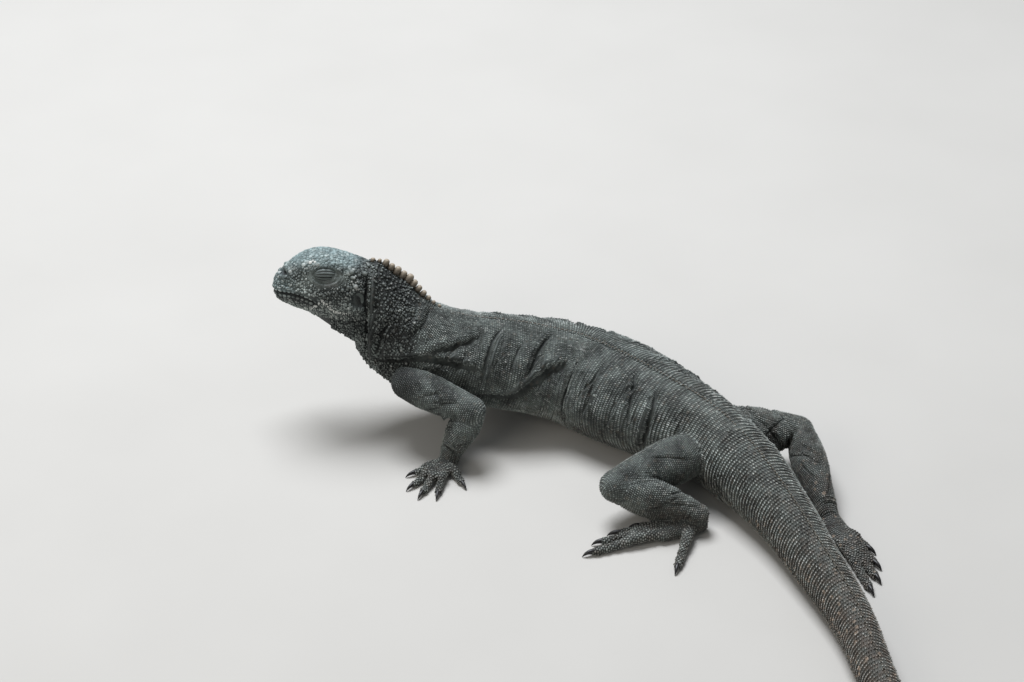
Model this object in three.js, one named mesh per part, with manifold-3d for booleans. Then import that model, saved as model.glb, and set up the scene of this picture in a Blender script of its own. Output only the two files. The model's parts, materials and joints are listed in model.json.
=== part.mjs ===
// A young marine iguana at life size, lying with its chest propped on its fore legs and its eyes shut.
// Millimetres, +Z up. The head points to -X, the animal's left side faces -Y, and the floor is Z = 0.
// The origin is on the floor in the middle of the flat of the belly.
import * as THREE from "three";
import { mergeVertices } from "three/addons/utils/BufferGeometryUtils.js";
import Module from "manifold-3d";

const wasm = await Module();
wasm.setup();

// Driving dimensions
const GAP = 0.35; // clear space between two neighbouring pieces
const RING_STEP = 8; // distance between the rings of the trunk and tail
const TRUNK_SIDES = 22;
const TAIL_SIDES = 12;
const LIMB_SIDES = 12;
const SOLE_SIDES = 8;
const TOE_SIDES = 6;
const HEAD_SIDES = 26;
const HEAD_LENGTH = 42.7; // from the ear to the tip of the snout
const HEAD_CENTRE = [-145.6, 31.2, 70]; // between the two ears
const HEAD_ROLL = 15; // degrees, the left cheek turned up
const EYE = { x: 15, z: 12.4, long: 6.3, high: 3.9, bulge: 2.6, depth: 9.6 };
const EAR = { x: -0.4, z: 0.4, long: 2.9, high: 3.5, thick: 0.7, depth: 14 };
const NOSTRIL = { x: 37.3, z: 12, y: 5.1, radius: 1.35 };
const CROWN_STEP = 5.1; // between the rows of raised scales on the crown
const CLAW_LENGTH = 6.5;
const NAPE_LOBES = 12;
const NAPE_LOBE = { long: 3.8, thick: 2.8, high: 3.5 };
const BACK_TOOTH = { long: 4.2, thick: 1.9, high: 1.8, step: 6.6 };
const TAIL_TOOTH = { long: 5, thick: 1.9, high: 2.4, step: 8 };

// Finishes, one for each kind of surface
const FINISH = {
  head: new THREE.MeshStandardMaterial({ color: 0x4c5558, roughness: 0.75 }),
  body: new THREE.MeshStandardMaterial({ color: 0x34342f, roughness: 0.8 }),
  tail: new THREE.MeshStandardMaterial({ color: 0x383330, roughness: 0.8 }),
  limb: new THREE.MeshStandardMaterial({ color: 0x36332f, roughness: 0.8 }),
  lid: new THREE.MeshStandardMaterial({ color: 0x3b4041, roughness: 0.65 }),
  ear: new THREE.MeshStandardMaterial({ color: 0x2b2d2d, roughness: 0.6 }),
};

const point = (x, y, z) => new THREE.Vector3(x, y, z);
const radians = THREE.MathUtils.degToRad;
const UP = point(0, 0, 1);

// Solids: closed meshes, joined and cut

// The closed mesh of rings that all have the same number of points, with a fan over each end
function loft(rings) {
  const sides = rings[0].length;
  const centre = (ring) => ring.reduce((sum, p) => sum.add(p), point(0, 0, 0)).divideScalar(sides);
  const points = [...rings.flat(), centre(rings[0]), centre(rings.at(-1))];
  const first = rings.length * sides;
  const faces = [];
  for (let i = 0; i < sides; i++) {
    const next = (i + 1) % sides;
    for (let r = 0; r + 1 < rings.length; r++) {
      const [a, b] = [r * sides + i, r * sides + next];
      faces.push([a, b, b + sides], [a, b + sides, a + sides]);
    }
    const last = (rings.length - 1) * sides;
    faces.push([first, next, i], [first + 1, last + i, last + next]);
  }
  const volume = faces.reduce((sum, [a, b, c]) => {
    return sum + points[a].dot(point(0, 0, 0).crossVectors(points[b], points[c]));
  }, 0);
  const index = faces.flatMap(([a, b, c]) => (volume > 0 ? [a, b, c] : [a, c, b]));
  return new THREE.BufferGeometry().setFromPoints(points).setIndex(index);
}

function toSolid(geometry) {
  const bare = geometry.clone();
  bare.deleteAttribute("normal");
  bare.deleteAttribute("uv");
  const merged = mergeVertices(bare, 1e-4);
  const vertProperties = merged.attributes.position.array;
  const triVerts = new Uint32Array(merged.index.array);
  return new wasm.Manifold(new wasm.Mesh({ numProp: 3, vertProperties, triVerts }));
}

function toGeometry(solid) {
  const { numProp, numVert, vertProperties, triVerts } = solid.getMesh();
  const positions = new Float32Array(numVert * 3);
  for (let i = 0; i < numVert; i++) {
    positions.set(vertProperties.subarray(i * numProp, i * numProp + 3), i * 3);
  }
  return new THREE.BufferGeometry()
    .setAttribute("position", new THREE.BufferAttribute(positions, 3))
    .setIndex(new THREE.BufferAttribute(triVerts, 1));
}

const join = (solids) => solids.reduce((all, solid) => all.add(solid));

// The largest closed surface of a solid, turned outwards, so that scraps and sealed hollows go
function largest(solid) {
  return solid.decompose().sort((a, b) => b.volume() - a.volume())[0];
}

const FLOOR_BLOCK = toSolid(new THREE.BoxGeometry(2000, 2000, 100).translate(0, 0, -50));
const restOnFloor = (solid) => solid.subtract(FLOOR_BLOCK);

// A ball scaled to three half sizes, set in a frame
function ellipsoid(halfSizes, frame, across = 14, upright = 9) {
  const ball = new THREE.SphereGeometry(1, across, upright).scale(...halfSizes);
  return toSolid(ball.applyMatrix4(frame));
}

// A point of a rounded outline. A fullness of 2 is an ellipse, less is leaner and more is squarer
function outlinePoint(angle, { wide, top, bottom, fullTop = 2, fullBottom = 2 }) {
  const [c, s] = [Math.cos(angle), Math.sin(angle)];
  const power = 2 / (s > 0 ? fullTop : fullBottom);
  const height = s > 0 ? top : bottom;
  return [Math.sign(c) * wide * Math.abs(c) ** power, Math.sign(s) * height * Math.abs(s) ** power];
}

const gauss = (distance, spread) => Math.exp(-((distance / spread) ** 2));

// The head, in a frame of its own: x to the snout, y to the left, z up

const HEAD_FRAME = new THREE.Matrix4()
  .makeBasis(
    point(-1, 0, 0),
    point(0, -Math.cos(radians(HEAD_ROLL)), Math.sin(radians(HEAD_ROLL))),
    point(0, Math.sin(radians(HEAD_ROLL)), Math.cos(radians(HEAD_ROLL))),
  )
  .setPosition(...HEAD_CENTRE);

// Stations from the back of the skull to the snout: top and bottom line, half width and its level
const HEAD_STATIONS = [
  { x: -5, top: 16.2, bottom: -14.6, wide: 14, level: -1.8 },
  { x: 0, top: 18.3, bottom: -15, wide: 14.8, level: -2 },
  { x: 7, top: 20.8, bottom: -14, wide: 14.8, level: -1.5 },
  { x: 14, top: 22.9, bottom: -12.4, wide: 13.9, level: -1 },
  { x: 20, top: 23.2, bottom: -10.8, wide: 12.6, level: 0 },
  { x: 26, top: 21.9, bottom: -9, wide: 11.2, level: 1 },
  { x: 32, top: 18.4, bottom: -7, wide: 9.8, level: 1.6 },
  { x: 37, top: 14.3, bottom: -4.8, wide: 8.2, level: 2.4 },
  { x: 40.5, top: 10.6, bottom: -2.6, wide: 6.2, level: 3.4 },
  { x: 42.2, top: 7.8, bottom: 0.4, wide: 3.9, level: 4.2 },
  { x: HEAD_LENGTH, top: 6.2, bottom: 3, wide: 1.6, level: 4.8 },
];
const HEAD_FULLNESS = { fullTop: 2.35, fullBottom: 2.1 };
const HEAD_SWELLINGS = [
  { x: 15, z: 17.6, long: 9, high: 2.4, out: 1.1 }, // brow
  { x: 15, z: 12.4, long: 8, high: 4.8, out: -1.4 }, // hollow round the eye
  { x: 2, z: -7, long: 7, high: 5.5, out: 1.3 }, // jowl
  { x: 28, z: 2.6, long: 11, high: 2, out: 0.7 }, // upper lip
  { x: 37.3, z: 12, long: 2.6, high: 2.4, out: 0.8 }, // rim of the nostril
  { x: 27, z: 15, long: 6, high: 2.2, out: 0.5 }, // ridge from brow to nostril
];

// A smooth value between the stations of a list, at x
function between(stations, x, key) {
  const last = stations.length - 2;
  const i = Math.max(0, stations.slice(1, -1).filter((s) => s.x <= x).length);
  const [a, b] = [stations[i], stations[i + 1]];
  const slope = (j) => {
    const [p, q] = [stations[Math.max(0, j - 1)], stations[Math.min(last + 1, j + 1)]];
    return (q[key] - p[key]) / (q.x - p.x);
  };
  const span = b.x - a.x;
  const t = THREE.MathUtils.clamp((x - a.x) / span, 0, 1);
  const hermite = [2 * t ** 3 - 3 * t ** 2 + 1, t ** 3 - 2 * t ** 2 + t, 3 * t ** 2 - 2 * t ** 3, t ** 3 - t ** 2];
  return (
    hermite[0] * a[key] + hermite[1] * span * slope(i) + hermite[2] * b[key] + hermite[3] * span * slope(i + 1)
  );
}

// One ring of the head at x, with its swellings pushed out sideways, all grown by a clearance
function headRing(x, grow) {
  const at = (key) => between(HEAD_STATIONS, x, key);
  const level = at("level");
  const size = { wide: at("wide") + grow, top: at("top") - level + grow, bottom: level - at("bottom") + grow };
  return Array.from({ length: HEAD_SIDES }, (_, i) => {
    const angle = (i / HEAD_SIDES) * 2 * Math.PI;
    const [across, height] = outlinePoint(angle, { ...size, ...HEAD_FULLNESS });
    const z = level + height;
    const push = HEAD_SWELLINGS.reduce((sum, s) => {
      return sum + s.out * gauss(x - s.x, s.long) * gauss(z - s.z, s.high);
    }, 0);
    return point(x, across + Math.sign(Math.cos(angle)) * push * Math.abs(Math.cos(angle)), z);
  });
}

function headLoft(grow) {
  const places = [-5, -1.5, 2, 6, 10, 14.5, 19, 23, 27, 30.5, 33.5, 36, 38.5, 40.5, 41.8];
  const rings = places.map((x) => headRing(x, grow));
  const first = rings[0].map((p) => p.clone().multiply(point(1, 0.55, 0.55)).add(point(-2.5 - grow, 0, 0)));
  const last = headRing(HEAD_LENGTH, grow).map((p) => p.add(point(grow, 0, 0)));
  return toSolid(loft([first, ...rings, last]).applyMatrix4(HEAD_FRAME));
}

// A frame in the head at a place and turned round its length by a tilt
const inHead = (x, y, z) => HEAD_FRAME.clone().multiply(new THREE.Matrix4().makeTranslation(x, y, z));

// The space in front of and below the line of the mouth, which is the lower jaw's
function jawSpace(grow) {
  const line = new THREE.Shape();
  line.moveTo(60, 2.4 + grow);
  line.lineTo(41, 1.8 + grow);
  line.quadraticCurveTo(32, 2 + grow, 27, 0.5 + grow);
  line.quadraticCurveTo(22.5, -0.9 + grow, 20 - grow, -3.4 + grow);
  line.lineTo(12.5 - grow, -9.5 + grow);
  line.lineTo(2 - grow, -30);
  line.lineTo(60, -30);
  const block = new THREE.ExtrudeGeometry(line, { depth: 60, bevelEnabled: false, curveSegments: 5 });
  block.translate(0, 0, -30).rotateX(Math.PI / 2);
  return toSolid(block.applyMatrix4(HEAD_FRAME));
}

// A blunt scale standing on the skin, from a root below it to a narrower top that ends in a low point
function lobe({ long, thick, high }, frame, { sides = 5, waist = 0.9, shoulder = 0.6, lean = 0, sunk = 1.4 } = {}) {
  const ring = (share, height) =>
    Array.from({ length: sides }, (_, i) => {
      const a = (i / sides) * 2 * Math.PI;
      return point((Math.cos(a) * share * long) / 2 + lean * height, (Math.sin(a) * share * thick) / 2, height);
    });
  const body = loft([ring(1, -sunk), ring(waist, high * 0.5), ring(shoulder, high * 0.85)]);
  body.attributes.position.setZ(body.attributes.position.count - 1, high);
  return toSolid(body.applyMatrix4(frame));
}

// Raised scales on the crown and snout, in rows from side to side
function crownScales() {
  const made = [];
  for (let x = 5; x < 36; x += CROWN_STEP) {
    const level = between(HEAD_STATIONS, x, "level");
    const ring = { wide: between(HEAD_STATIONS, x, "wide"), top: between(HEAD_STATIONS, x, "top") - level, bottom: 10 };
    const row = Math.round((x - 5) / CROWN_STEP);
    const count = 3 + (row % 2);
    for (let k = 0; k < count; k++) {
      const angle = radians(90 + (k - (count - 1) / 2) * 29);
      const [across, height] = outlinePoint(angle, { ...ring, ...HEAD_FULLNESS });
      const outward = point(0, across / ring.wide ** 2, height / ring.top ** 2).normalize();
      const turn = new THREE.Quaternion().setFromUnitVectors(UP, outward);
      const size = { long: 5, thick: 4.9, high: 0.55 + 0.25 * ((row + k) % 2) };
      const place = new THREE.Matrix4().compose(point(x, across, level + height), turn, point(1, 1, 1));
      made.push(lobe(size, HEAD_FRAME.clone().multiply(place), { sides: 6, sunk: 1, waist: 0.96, shoulder: 0.8 }));
    }
  }
  return made;
}

// The skull with its upper jaw, the lower jaw, two shut lids and two ear drums
function headPieces() {
  const sides = { left: 1, right: -1 };
  let skull = join([headLoft(0), ...crownScales()]);
  const pieces = {};
  for (const [side, sign] of Object.entries(sides)) {
    const eye = inHead(EYE.x, sign * EYE.depth, EYE.z);
    const lid = ellipsoid([EYE.long, EYE.bulge, EYE.high], eye, 12, 8);
    const slit = new THREE.BoxGeometry(EYE.long * 1.7, 2.4, 0.7).translate(0, sign * (EYE.bulge + 0.5), -0.6);
    pieces[`eyelid_${side}`] = [lid.subtract(toSolid(slit.applyMatrix4(eye))), FINISH.lid];
    skull = skull.subtract(ellipsoid([EYE.long + GAP, EYE.bulge + GAP, EYE.high + GAP], eye, 12, 8));

    const ear = inHead(EAR.x, sign * (EAR.depth - 0.9), EAR.z);
    pieces[`eardrum_${side}`] = [ellipsoid([EAR.long, EAR.thick, EAR.high], ear, 10, 6), FINISH.ear];
    const recess = inHead(EAR.x, sign * EAR.depth, EAR.z);
    skull = skull.subtract(ellipsoid([EAR.long + 0.7, EAR.thick + 1.5, EAR.high + 0.7], recess, 10, 6));

    const nostril = inHead(NOSTRIL.x, sign * NOSTRIL.y, NOSTRIL.z);
    skull = skull.subtract(ellipsoid([NOSTRIL.radius, NOSTRIL.radius, NOSTRIL.radius], nostril, 7, 5));
  }
  const lower = headLoft(0).intersect(jawSpace(0));
  pieces.lower_jaw = [largest(lower), FINISH.head];
  pieces.head = [largest(skull.subtract(jawSpace(GAP))), FINISH.head];
  return pieces;
}

// The neck, trunk and tail, as one form along the spine

// Stations from inside the head to the tip of the tail. Full sizes of a station are its half width,
// and its reach above and below the centre line; roll turns the left side up, in degrees
const SPINE = [
  { at: [-172, 31.6, 66.5], wide: 6, top: 4, bottom: 5.6, roll: 15 },
  { at: [-160, 31.2, 66], wide: 11, top: 8, bottom: 13, roll: 15 },
  { at: [-150.5, 30.6, 65.4], wide: 13.2, top: 13, bottom: 17.8, roll: 15 },
  { at: [-142, 30, 64.8], wide: 14.2, top: 22.2, bottom: 22.2, roll: 14 },
  { at: [-136.5, 29.4, 63], wide: 14.8, top: 19.6, bottom: 22.2, roll: 14 },
  { at: [-130.5, 28.6, 59], wide: 16.6, top: 19, bottom: 25.4, roll: 13 },
  { at: [-123, 27, 53.5], wide: 18, top: 18.4, bottom: 28, roll: 12 },
  { at: [-113, 25, 46.5], wide: 20.5, top: 19.6, bottom: 28, roll: 9 },
  { at: [-96, 24, 38.8], wide: 24, top: 21.4, bottom: 24.4, roll: 7 },
  { at: [-75, 25.5, 33.5], wide: 26.5, top: 23, bottom: 23.5, roll: 5 },
  { at: [-54, 27.5, 28.5], wide: 28.5, top: 23, bottom: 23.5, roll: 3 },
  { at: [-33, 25, 24.6], wide: 30, top: 23.5, bottom: 24.9, roll: 1 },
  { at: [-12.2, 9.9, 23.8], wide: 30, top: 23.6, bottom: 24.6, roll: 0 },
  { at: [8.6, -8.2, 23.5], wide: 25.2, top: 22, bottom: 24.2, roll: 0 },
  { at: [28.5, -27.4, 22.5], wide: 19.6, top: 20.2, bottom: 23.2, roll: 0 },
  { at: [44.4, -50.9, 20], wide: 17.2, top: 18.4, bottom: 20.6, roll: 0 },
  { at: [59.5, -82, 17], wide: 13.4, top: 16, bottom: 17.4, roll: 0 },
  { at: [72.5, -118, 14.6], wide: 10.8, top: 14, bottom: 14.9, roll: 0 },
  { at: [84.5, -155, 12.7], wide: 9.2, top: 12.4, bottom: 13, roll: 0 },
  { at: [92, -196, 11], wide: 8, top: 11, bottom: 11.3, roll: 0 },
  { at: [101, -237, 8.9], wide: 6.2, top: 9.2, bottom: 9.1, roll: 0 },
  { at: [119, -273, 6.7], wide: 4.4, top: 7.1, bottom: 6.9, roll: 0 },
  { at: [148, -301, 4.3], wide: 2.7, top: 4.7, bottom: 4.5, roll: 0 },
  { at: [180, -319, 1.8], wide: 0.8, top: 1.4, bottom: 2, roll: 0 },
];
const SPINE_LINE = new THREE.CatmullRomCurve3(SPINE.map((s) => point(...s.at)), false, "centripetal");
const SPINE_SIZE = new THREE.CatmullRomCurve3(
  SPINE.map((s) => point(s.wide, s.top, s.bottom)),
  false,
  "catmullrom",
  0.5,
);
const TRUNK_FULLNESS = { fullTop: 1.85, fullBottom: 2.25 };
const TAIL_ROOT = 15; // the station behind the hips

// Folds of loose skin across the neck and flank: station, width and height of each
const SKIN_FOLDS = [
  { at: 4.5, spread: 0.35, out: -1.9 },
  { at: 5.2, spread: 0.45, out: 0.6 },
  { at: 6.1, spread: 0.35, out: 0.9 },
  { at: 9.1, spread: 0.18, out: 0.8 },
  { at: 11, spread: 0.2, out: 0.7 },
  { at: 12.9, spread: 0.2, out: 0.8 },
];

const shareOf = (station) => station / (SPINE.length - 1);

// The frame of the spine at a station: its centre, the animal's left and its up
function spineFrame(station) {
  const centre = SPINE_LINE.getPoint(shareOf(station));
  const along = SPINE_LINE.getTangent(shareOf(station));
  const left = point(0, 0, 0).crossVectors(along, UP).normalize();
  const up = point(0, 0, 0).crossVectors(left, along);
  const index = Math.min(SPINE.length - 2, Math.floor(station));
  const roll = THREE.MathUtils.lerp(SPINE[index].roll, SPINE[index + 1].roll, station - index);
  left.applyAxisAngle(along, radians(-roll));
  up.applyAxisAngle(along, radians(-roll));
  return { centre, along, left, up };
}

function spineSize(station) {
  const size = SPINE_SIZE.getPoint(shareOf(station));
  return { wide: size.x, top: size.y, bottom: size.z };
}

function skinPoint(station, angle, grow = 0) {
  const { centre, left, up } = spineFrame(station);
  const size = spineSize(station);
  const flank = Math.abs(Math.cos(angle));
  const fold = SKIN_FOLDS.reduce((sum, f) => sum + f.out * flank * gauss(station - f.at, f.spread), 0);
  const fullness = station < TAIL_ROOT ? TRUNK_FULLNESS : {};
  const grown = { wide: size.wide + fold + grow, top: size.top + grow, bottom: size.bottom + grow };
  const [across, height] = outlinePoint(angle, { ...grown, ...fullness });
  return centre.clone().addScaledVector(left, across).addScaledVector(up, height);
}

// The stretch of the body between two stations, as a solid with flat ends
function bodyStretch(from, to, { grow = 0, sides = TRUNK_SIDES } = {}) {
  const reach = SPINE_LINE.getPoint(shareOf(from)).distanceTo(SPINE_LINE.getPoint(shareOf(to)));
  const count = Math.max(2, Math.round(reach / RING_STEP));
  const rings = Array.from({ length: count + 1 }, (_, r) => {
    const station = THREE.MathUtils.lerp(from, to, r / count);
    return Array.from({ length: sides }, (_, i) => skinPoint(station, (i / sides) * 2 * Math.PI, grow));
  });
  return toSolid(loft(rings));
}

// A frame standing on the middle line of the back, x along the spine to the tail and z outwards
function backFrame(station) {
  const { along, left, up } = spineFrame(station);
  const foot = skinPoint(station, Math.PI / 2);
  return new THREE.Matrix4().makeBasis(along, left.negate(), up).setPosition(foot);
}

// Stations spread evenly by distance along the spine between two stations
function evenStations(from, to, step) {
  const stations = [from];
  let here = from;
  while (true) {
    const pace = SPINE_LINE.getPoint(shareOf(here)).distanceTo(SPINE_LINE.getPoint(shareOf(here + 0.1)));
    here += (step / pace) * 0.1;
    if (here > to) return stations;
    stations.push(here);
  }
}

// The blunt lobes of the nape, largest in the middle of the row
function napeCrest(from, to) {
  return Array.from({ length: NAPE_LOBES }, (_, i) => {
    const share = i / (NAPE_LOBES - 1);
    const scale = 0.55 + 0.45 * Math.sin(Math.PI * Math.min(1, share * 0.8 + 0.22));
    const { long, thick, high } = NAPE_LOBE;
    const size = { long: long * scale, thick: thick * scale, high: high * scale };
    return lobe(size, backFrame(THREE.MathUtils.lerp(from, to, share)), { sides: 6, waist: 1, shoulder: 0.72, lean: 0.2 });
  });
}

// The low saw edge along the back and tail
function sawCrest(from, to, tooth, shrink = () => 1) {
  return evenStations(from, to, tooth.step).map((station) => {
    const scale = shrink(station);
    const size = { long: tooth.long, thick: tooth.thick * scale, high: tooth.high * scale };
    return lobe(size, backFrame(station), { sides: 4, waist: 0.6, shoulder: 0.25, lean: 0.4, sunk: 0.6 });
  });
}

const NECK_END = 7.1;
const CHEST_END = 10.3;
const TRUNK_END = 14.9;
const TAIL_CUTS = [TRUNK_END, 16.4, 17.9, 19.4, 21, SPINE.length - 1];

// The distance in stations that leaves a clear gap at a cut
function halfGap(station) {
  const pace = SPINE_LINE.getPoint(shareOf(station)).distanceTo(SPINE_LINE.getPoint(shareOf(station + 0.1)));
  return (GAP * 0.6 * 0.1) / pace;
}

function bodyPieces() {
  const cut = (station, side) => station + side * halfGap(station);
  const neck = bodyStretch(0, cut(NECK_END, -1)).subtract(headLoft(GAP));
  const pieces = {
    neck: [join([neck, ...napeCrest(3.55, 6.7)]).subtract(headLoft(GAP)), FINISH.body],
    torso_front: [
      join([bodyStretch(cut(NECK_END, 1), cut(CHEST_END, -1)), ...sawCrest(7.4, 10.15, BACK_TOOTH)]),
      FINISH.body,
    ],
    torso_rear: [
      join([bodyStretch(cut(CHEST_END, 1), cut(TRUNK_END, -1)), ...sawCrest(10.5, 14.7, BACK_TOOTH)]),
      FINISH.body,
    ],
  };
  TAIL_CUTS.slice(0, -1).forEach((from, i) => {
    const to = TAIL_CUTS[i + 1];
    const last = i === TAIL_CUTS.length - 2;
    const stretch = bodyStretch(cut(from, 1), last ? to : cut(to, -1), { sides: TAIL_SIDES });
    const shrink = (station) => THREE.MathUtils.clamp((23.4 - station) / 4, 0.2, 1);
    const teeth = sawCrest(from + 0.16, to - (last ? 0.6 : 0.16), TAIL_TOOTH, shrink);
    pieces[`tail_${i + 1}`] = [join([stretch, ...teeth]), FINISH.tail];
  });
  return pieces;
}

// The legs. Each segment is a rounded form along a line, given by its half sizes from end to end

// Places of the joints; a foot's heading and its toes are laid out on the floor
const LEGS = {
  front_left: {
    names: ["upper_arm", "forearm", "hand"],
    joints: [[-121, 1, 35.5], [-89, -15, 29.5], [-99.5, -18.5, 7.5]],
    heading: [-0.47, -0.88],
    outward: 1,
  },
  front_right: {
    names: ["upper_arm", "forearm", "hand"],
    joints: [[-111, 40, 35], [-86, 61, 27], [-101, 66, 7.5]],
    heading: [-0.86, 0.51],
    outward: -1,
  },
  hind_left: {
    names: ["thigh", "shank", "foot"],
    joints: [[23, -37.5, 22.5], [-19.4, -64.2, 19.5], [20.5, -73, 9.3]],
    heading: [-0.95, -0.31],
    outward: 1,
  },
  hind_right: {
    names: ["thigh", "shank", "foot"],
    joints: [[32, -24, 25.5], [72.9, -17.5, 19], [83, -67, 7]],
    heading: [0.32, -0.95],
    outward: -1,
  },
};

// Half sizes along each segment, from its root to its end: share of the length, across and deep
const SEGMENT_SIZES = {
  upper_arm: [{ x: 0, wide: 8, deep: 8.4 }, { x: 0.3, wide: 9, deep: 9.4 }, { x: 1, wide: 7.6, deep: 7.4 }],
  forearm: [{ x: 0, wide: 7.6, deep: 7.4 }, { x: 0.35, wide: 9, deep: 8 }, { x: 1, wide: 6.4, deep: 5.2 }],
  thigh: [{ x: 0, wide: 10, deep: 9.6 }, { x: 0.3, wide: 12, deep: 11.4 }, { x: 0.6, wide: 11, deep: 10.4 }, { x: 1, wide: 8.2, deep: 8 }],
  shank: [{ x: 0, wide: 7.6, deep: 7.4 }, { x: 0.38, wide: 8.6, deep: 10.6 }, { x: 0.8, wide: 6, deep: 8 }, { x: 1, wide: 5.2, deep: 5.4 }],
};

// Toes from the inner to the outer: where each leaves the foot, its turn from the heading, its length
const TOES = {
  hand: [
    { ahead: 8, aside: -4.4, turn: -36, length: 10 },
    { ahead: 11, aside: -2.8, turn: -14, length: 14.5 },
    { ahead: 12, aside: -0.4, turn: 3, length: 16.5 },
    { ahead: 11, aside: 2.2, turn: 19, length: 15 },
    { ahead: 6.5, aside: 4.4, turn: 54, length: 10.5 },
  ],
  foot: [
    { ahead: 15, aside: -4, turn: -24, length: 12 },
    { ahead: 19, aside: -2.6, turn: -14, length: 19 },
    { ahead: 21, aside: -0.6, turn: -6, length: 26 },
    { ahead: 21, aside: 1.8, turn: 2, length: 33 },
    { ahead: 6, aside: 4.2, turn: 56, length: 25 },
  ],
};
const PALM = {
  hand: { length: 11, wide: 6.2, high: 4.6 },
  foot: { length: 20, wide: 6.4, high: 5.2 },
};
const TOE_RADIUS = { hand: 2.4, foot: 2.7 };

// Rings round a line from a to b, closed with rounded ends
function roundedSegment(a, b, sizes, { grow = 0, sides = LIMB_SIDES, steps = 4 } = {}) {
  const along = b.clone().sub(a);
  const length = along.length();
  along.normalize();
  const across = point(0, 0, 0).crossVectors(along, UP).normalize();
  const deep = point(0, 0, 0).crossVectors(across, along);
  const ring = (distance, share, scale) => {
    const wide = (between(sizes, share, "wide") + grow) * scale;
    const high = (between(sizes, share, "deep") + grow) * scale;
    return Array.from({ length: sides }, (_, i) => {
      const angle = (i / sides) * 2 * Math.PI;
      return a
        .clone()
        .addScaledVector(along, distance)
        .addScaledVector(across, wide * Math.cos(angle))
        .addScaledVector(deep, high * Math.sin(angle));
    });
  };
  const cap = [75, 40];
  const [rootReach, endReach] = [sizes[0].deep + grow, sizes.at(-1).deep + grow];
  const root = cap.map((d) => ring(-rootReach * Math.sin(radians(d)), 0, Math.cos(radians(d))));
  const middle = Array.from({ length: steps + 1 }, (_, i) => ring((i / steps) * length, i / steps, 1));
  const end = cap.toReversed().map((d) => ring(length + endReach * Math.sin(radians(d)), 1, Math.cos(radians(d))));
  return toSolid(loft([...root, ...middle, ...end]));
}

// A tapered round form that follows a curve, from one half size to another
function taperedTube(curve, sizes, steps, sides = TOE_SIDES) {
  const rings = Array.from({ length: steps + 1 }, (_, r) => {
    const share = r / steps;
    const along = curve.getTangent(share);
    const across = point(0, 0, 0).crossVectors(along, UP).normalize();
    const upright = point(0, 0, 0).crossVectors(across, along);
    const half = between(sizes, share, "half");
    return Array.from({ length: sides }, (_, i) => {
      const angle = ((i + 0.5) / sides) * 2 * Math.PI;
      return curve
        .getPoint(share)
        .addScaledVector(across, half * Math.cos(angle))
        .addScaledVector(upright, half * Math.sin(angle));
    });
  });
  return toSolid(loft(rings));
}

// One toe with its claw, from its root on the foot to the floor
function toe(root, direction, length, radius) {
  const step = (distance, height) => root.clone().addScaledVector(direction, distance).setZ(height);
  const digit = new THREE.CatmullRomCurve3([
    step(-3, radius + 0.6),
    step(length * 0.33, radius + 1.5),
    step(length * 0.7, radius * 0.9),
    step(length, radius * 0.64),
  ]);
  const girth = [{ x: 0, half: radius }, { x: 0.35, half: radius * 0.94 }, { x: 0.5, half: radius * 0.8 }, { x: 1, half: radius * 0.74 }];
  const tip = step(length, radius * 0.64);
  const claw = new THREE.QuadraticBezierCurve3(
    tip.clone().addScaledVector(direction, -1.8),
    tip.clone().addScaledVector(direction, CLAW_LENGTH * 0.55).setZ(radius * 1.25),
    tip.clone().addScaledVector(direction, CLAW_LENGTH).setZ(0.15),
  );
  const hook = [{ x: 0, half: radius * 0.62 }, { x: 0.5, half: radius * 0.46 }, { x: 1, half: 0.12 }];
  return [taperedTube(digit, girth, 4), taperedTube(claw, hook, 3, 5)];
}

// A hand or foot: the sole, then each toe in turn
function footSolid(kind, ankle, heading, outward) {
  const ahead = point(heading[0], heading[1], 0).normalize();
  const aside = point(ahead.y, -ahead.x, 0).multiplyScalar(-outward);
  const { length, wide, high } = PALM[kind];
  const heel = ankle.clone().setZ(high * 0.8);
  const ball = heel.clone().addScaledVector(ahead, length).setZ(high * 0.62);
  const soleSizes = [{ x: 0, wide: wide * 0.78, deep: high }, { x: 1, wide, deep: high * 0.66 }];
  const sole = roundedSegment(heel, ball, soleSizes, { sides: SOLE_SIDES, steps: 2 });
  const toes = TOES[kind].flatMap((t) => {
    const root = ankle.clone().addScaledVector(ahead, t.ahead).addScaledVector(aside, t.aside);
    const direction = ahead.clone().applyAxisAngle(UP, radians(t.turn) * outward);
    return toe(root, direction, t.length, TOE_RADIUS[kind]);
  });
  return join([sole, ...toes]);
}

// The four legs, each cut clear of what it grows from
function legPieces() {
  const trunk = bodyStretch(4.2, 17.6, { grow: GAP + 0.2 });
  const pieces = {};
  for (const [leg, { names, joints, heading, outward }] of Object.entries(LEGS)) {
    const [root, bend, end] = joints.map((j) => point(...j));
    const [upperName, lowerName, footName] = names;
    const upper = roundedSegment(root, bend, SEGMENT_SIZES[upperName]);
    const upperGrown = roundedSegment(root, bend, SEGMENT_SIZES[upperName], { grow: GAP });
    const lower = roundedSegment(bend, end, SEGMENT_SIZES[lowerName]);
    const lowerGrown = roundedSegment(bend, end, SEGMENT_SIZES[lowerName], { grow: GAP });
    const foot = footSolid(footName, end, heading, outward);
    pieces[`${leg}_${upperName}`] = [upper.subtract(trunk), FINISH.limb];
    pieces[`${leg}_${lowerName}`] = [lower.subtract(upperGrown).subtract(trunk), FINISH.limb];
    pieces[`${leg}_${footName}`] = [foot.subtract(lowerGrown).subtract(trunk), FINISH.limb];
  }
  return pieces;
}

// The whole animal, one named mesh for each piece
const iguana = new THREE.Group();
const allPieces = { ...headPieces(), ...bodyPieces(), ...legPieces() };
for (const [name, [solid, finish]] of Object.entries(allPieces)) {
  const mesh = new THREE.Mesh(toGeometry(largest(restOnFloor(solid))), finish);
  mesh.name = name;
  iguana.add(mesh);
}

export default iguana;
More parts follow.
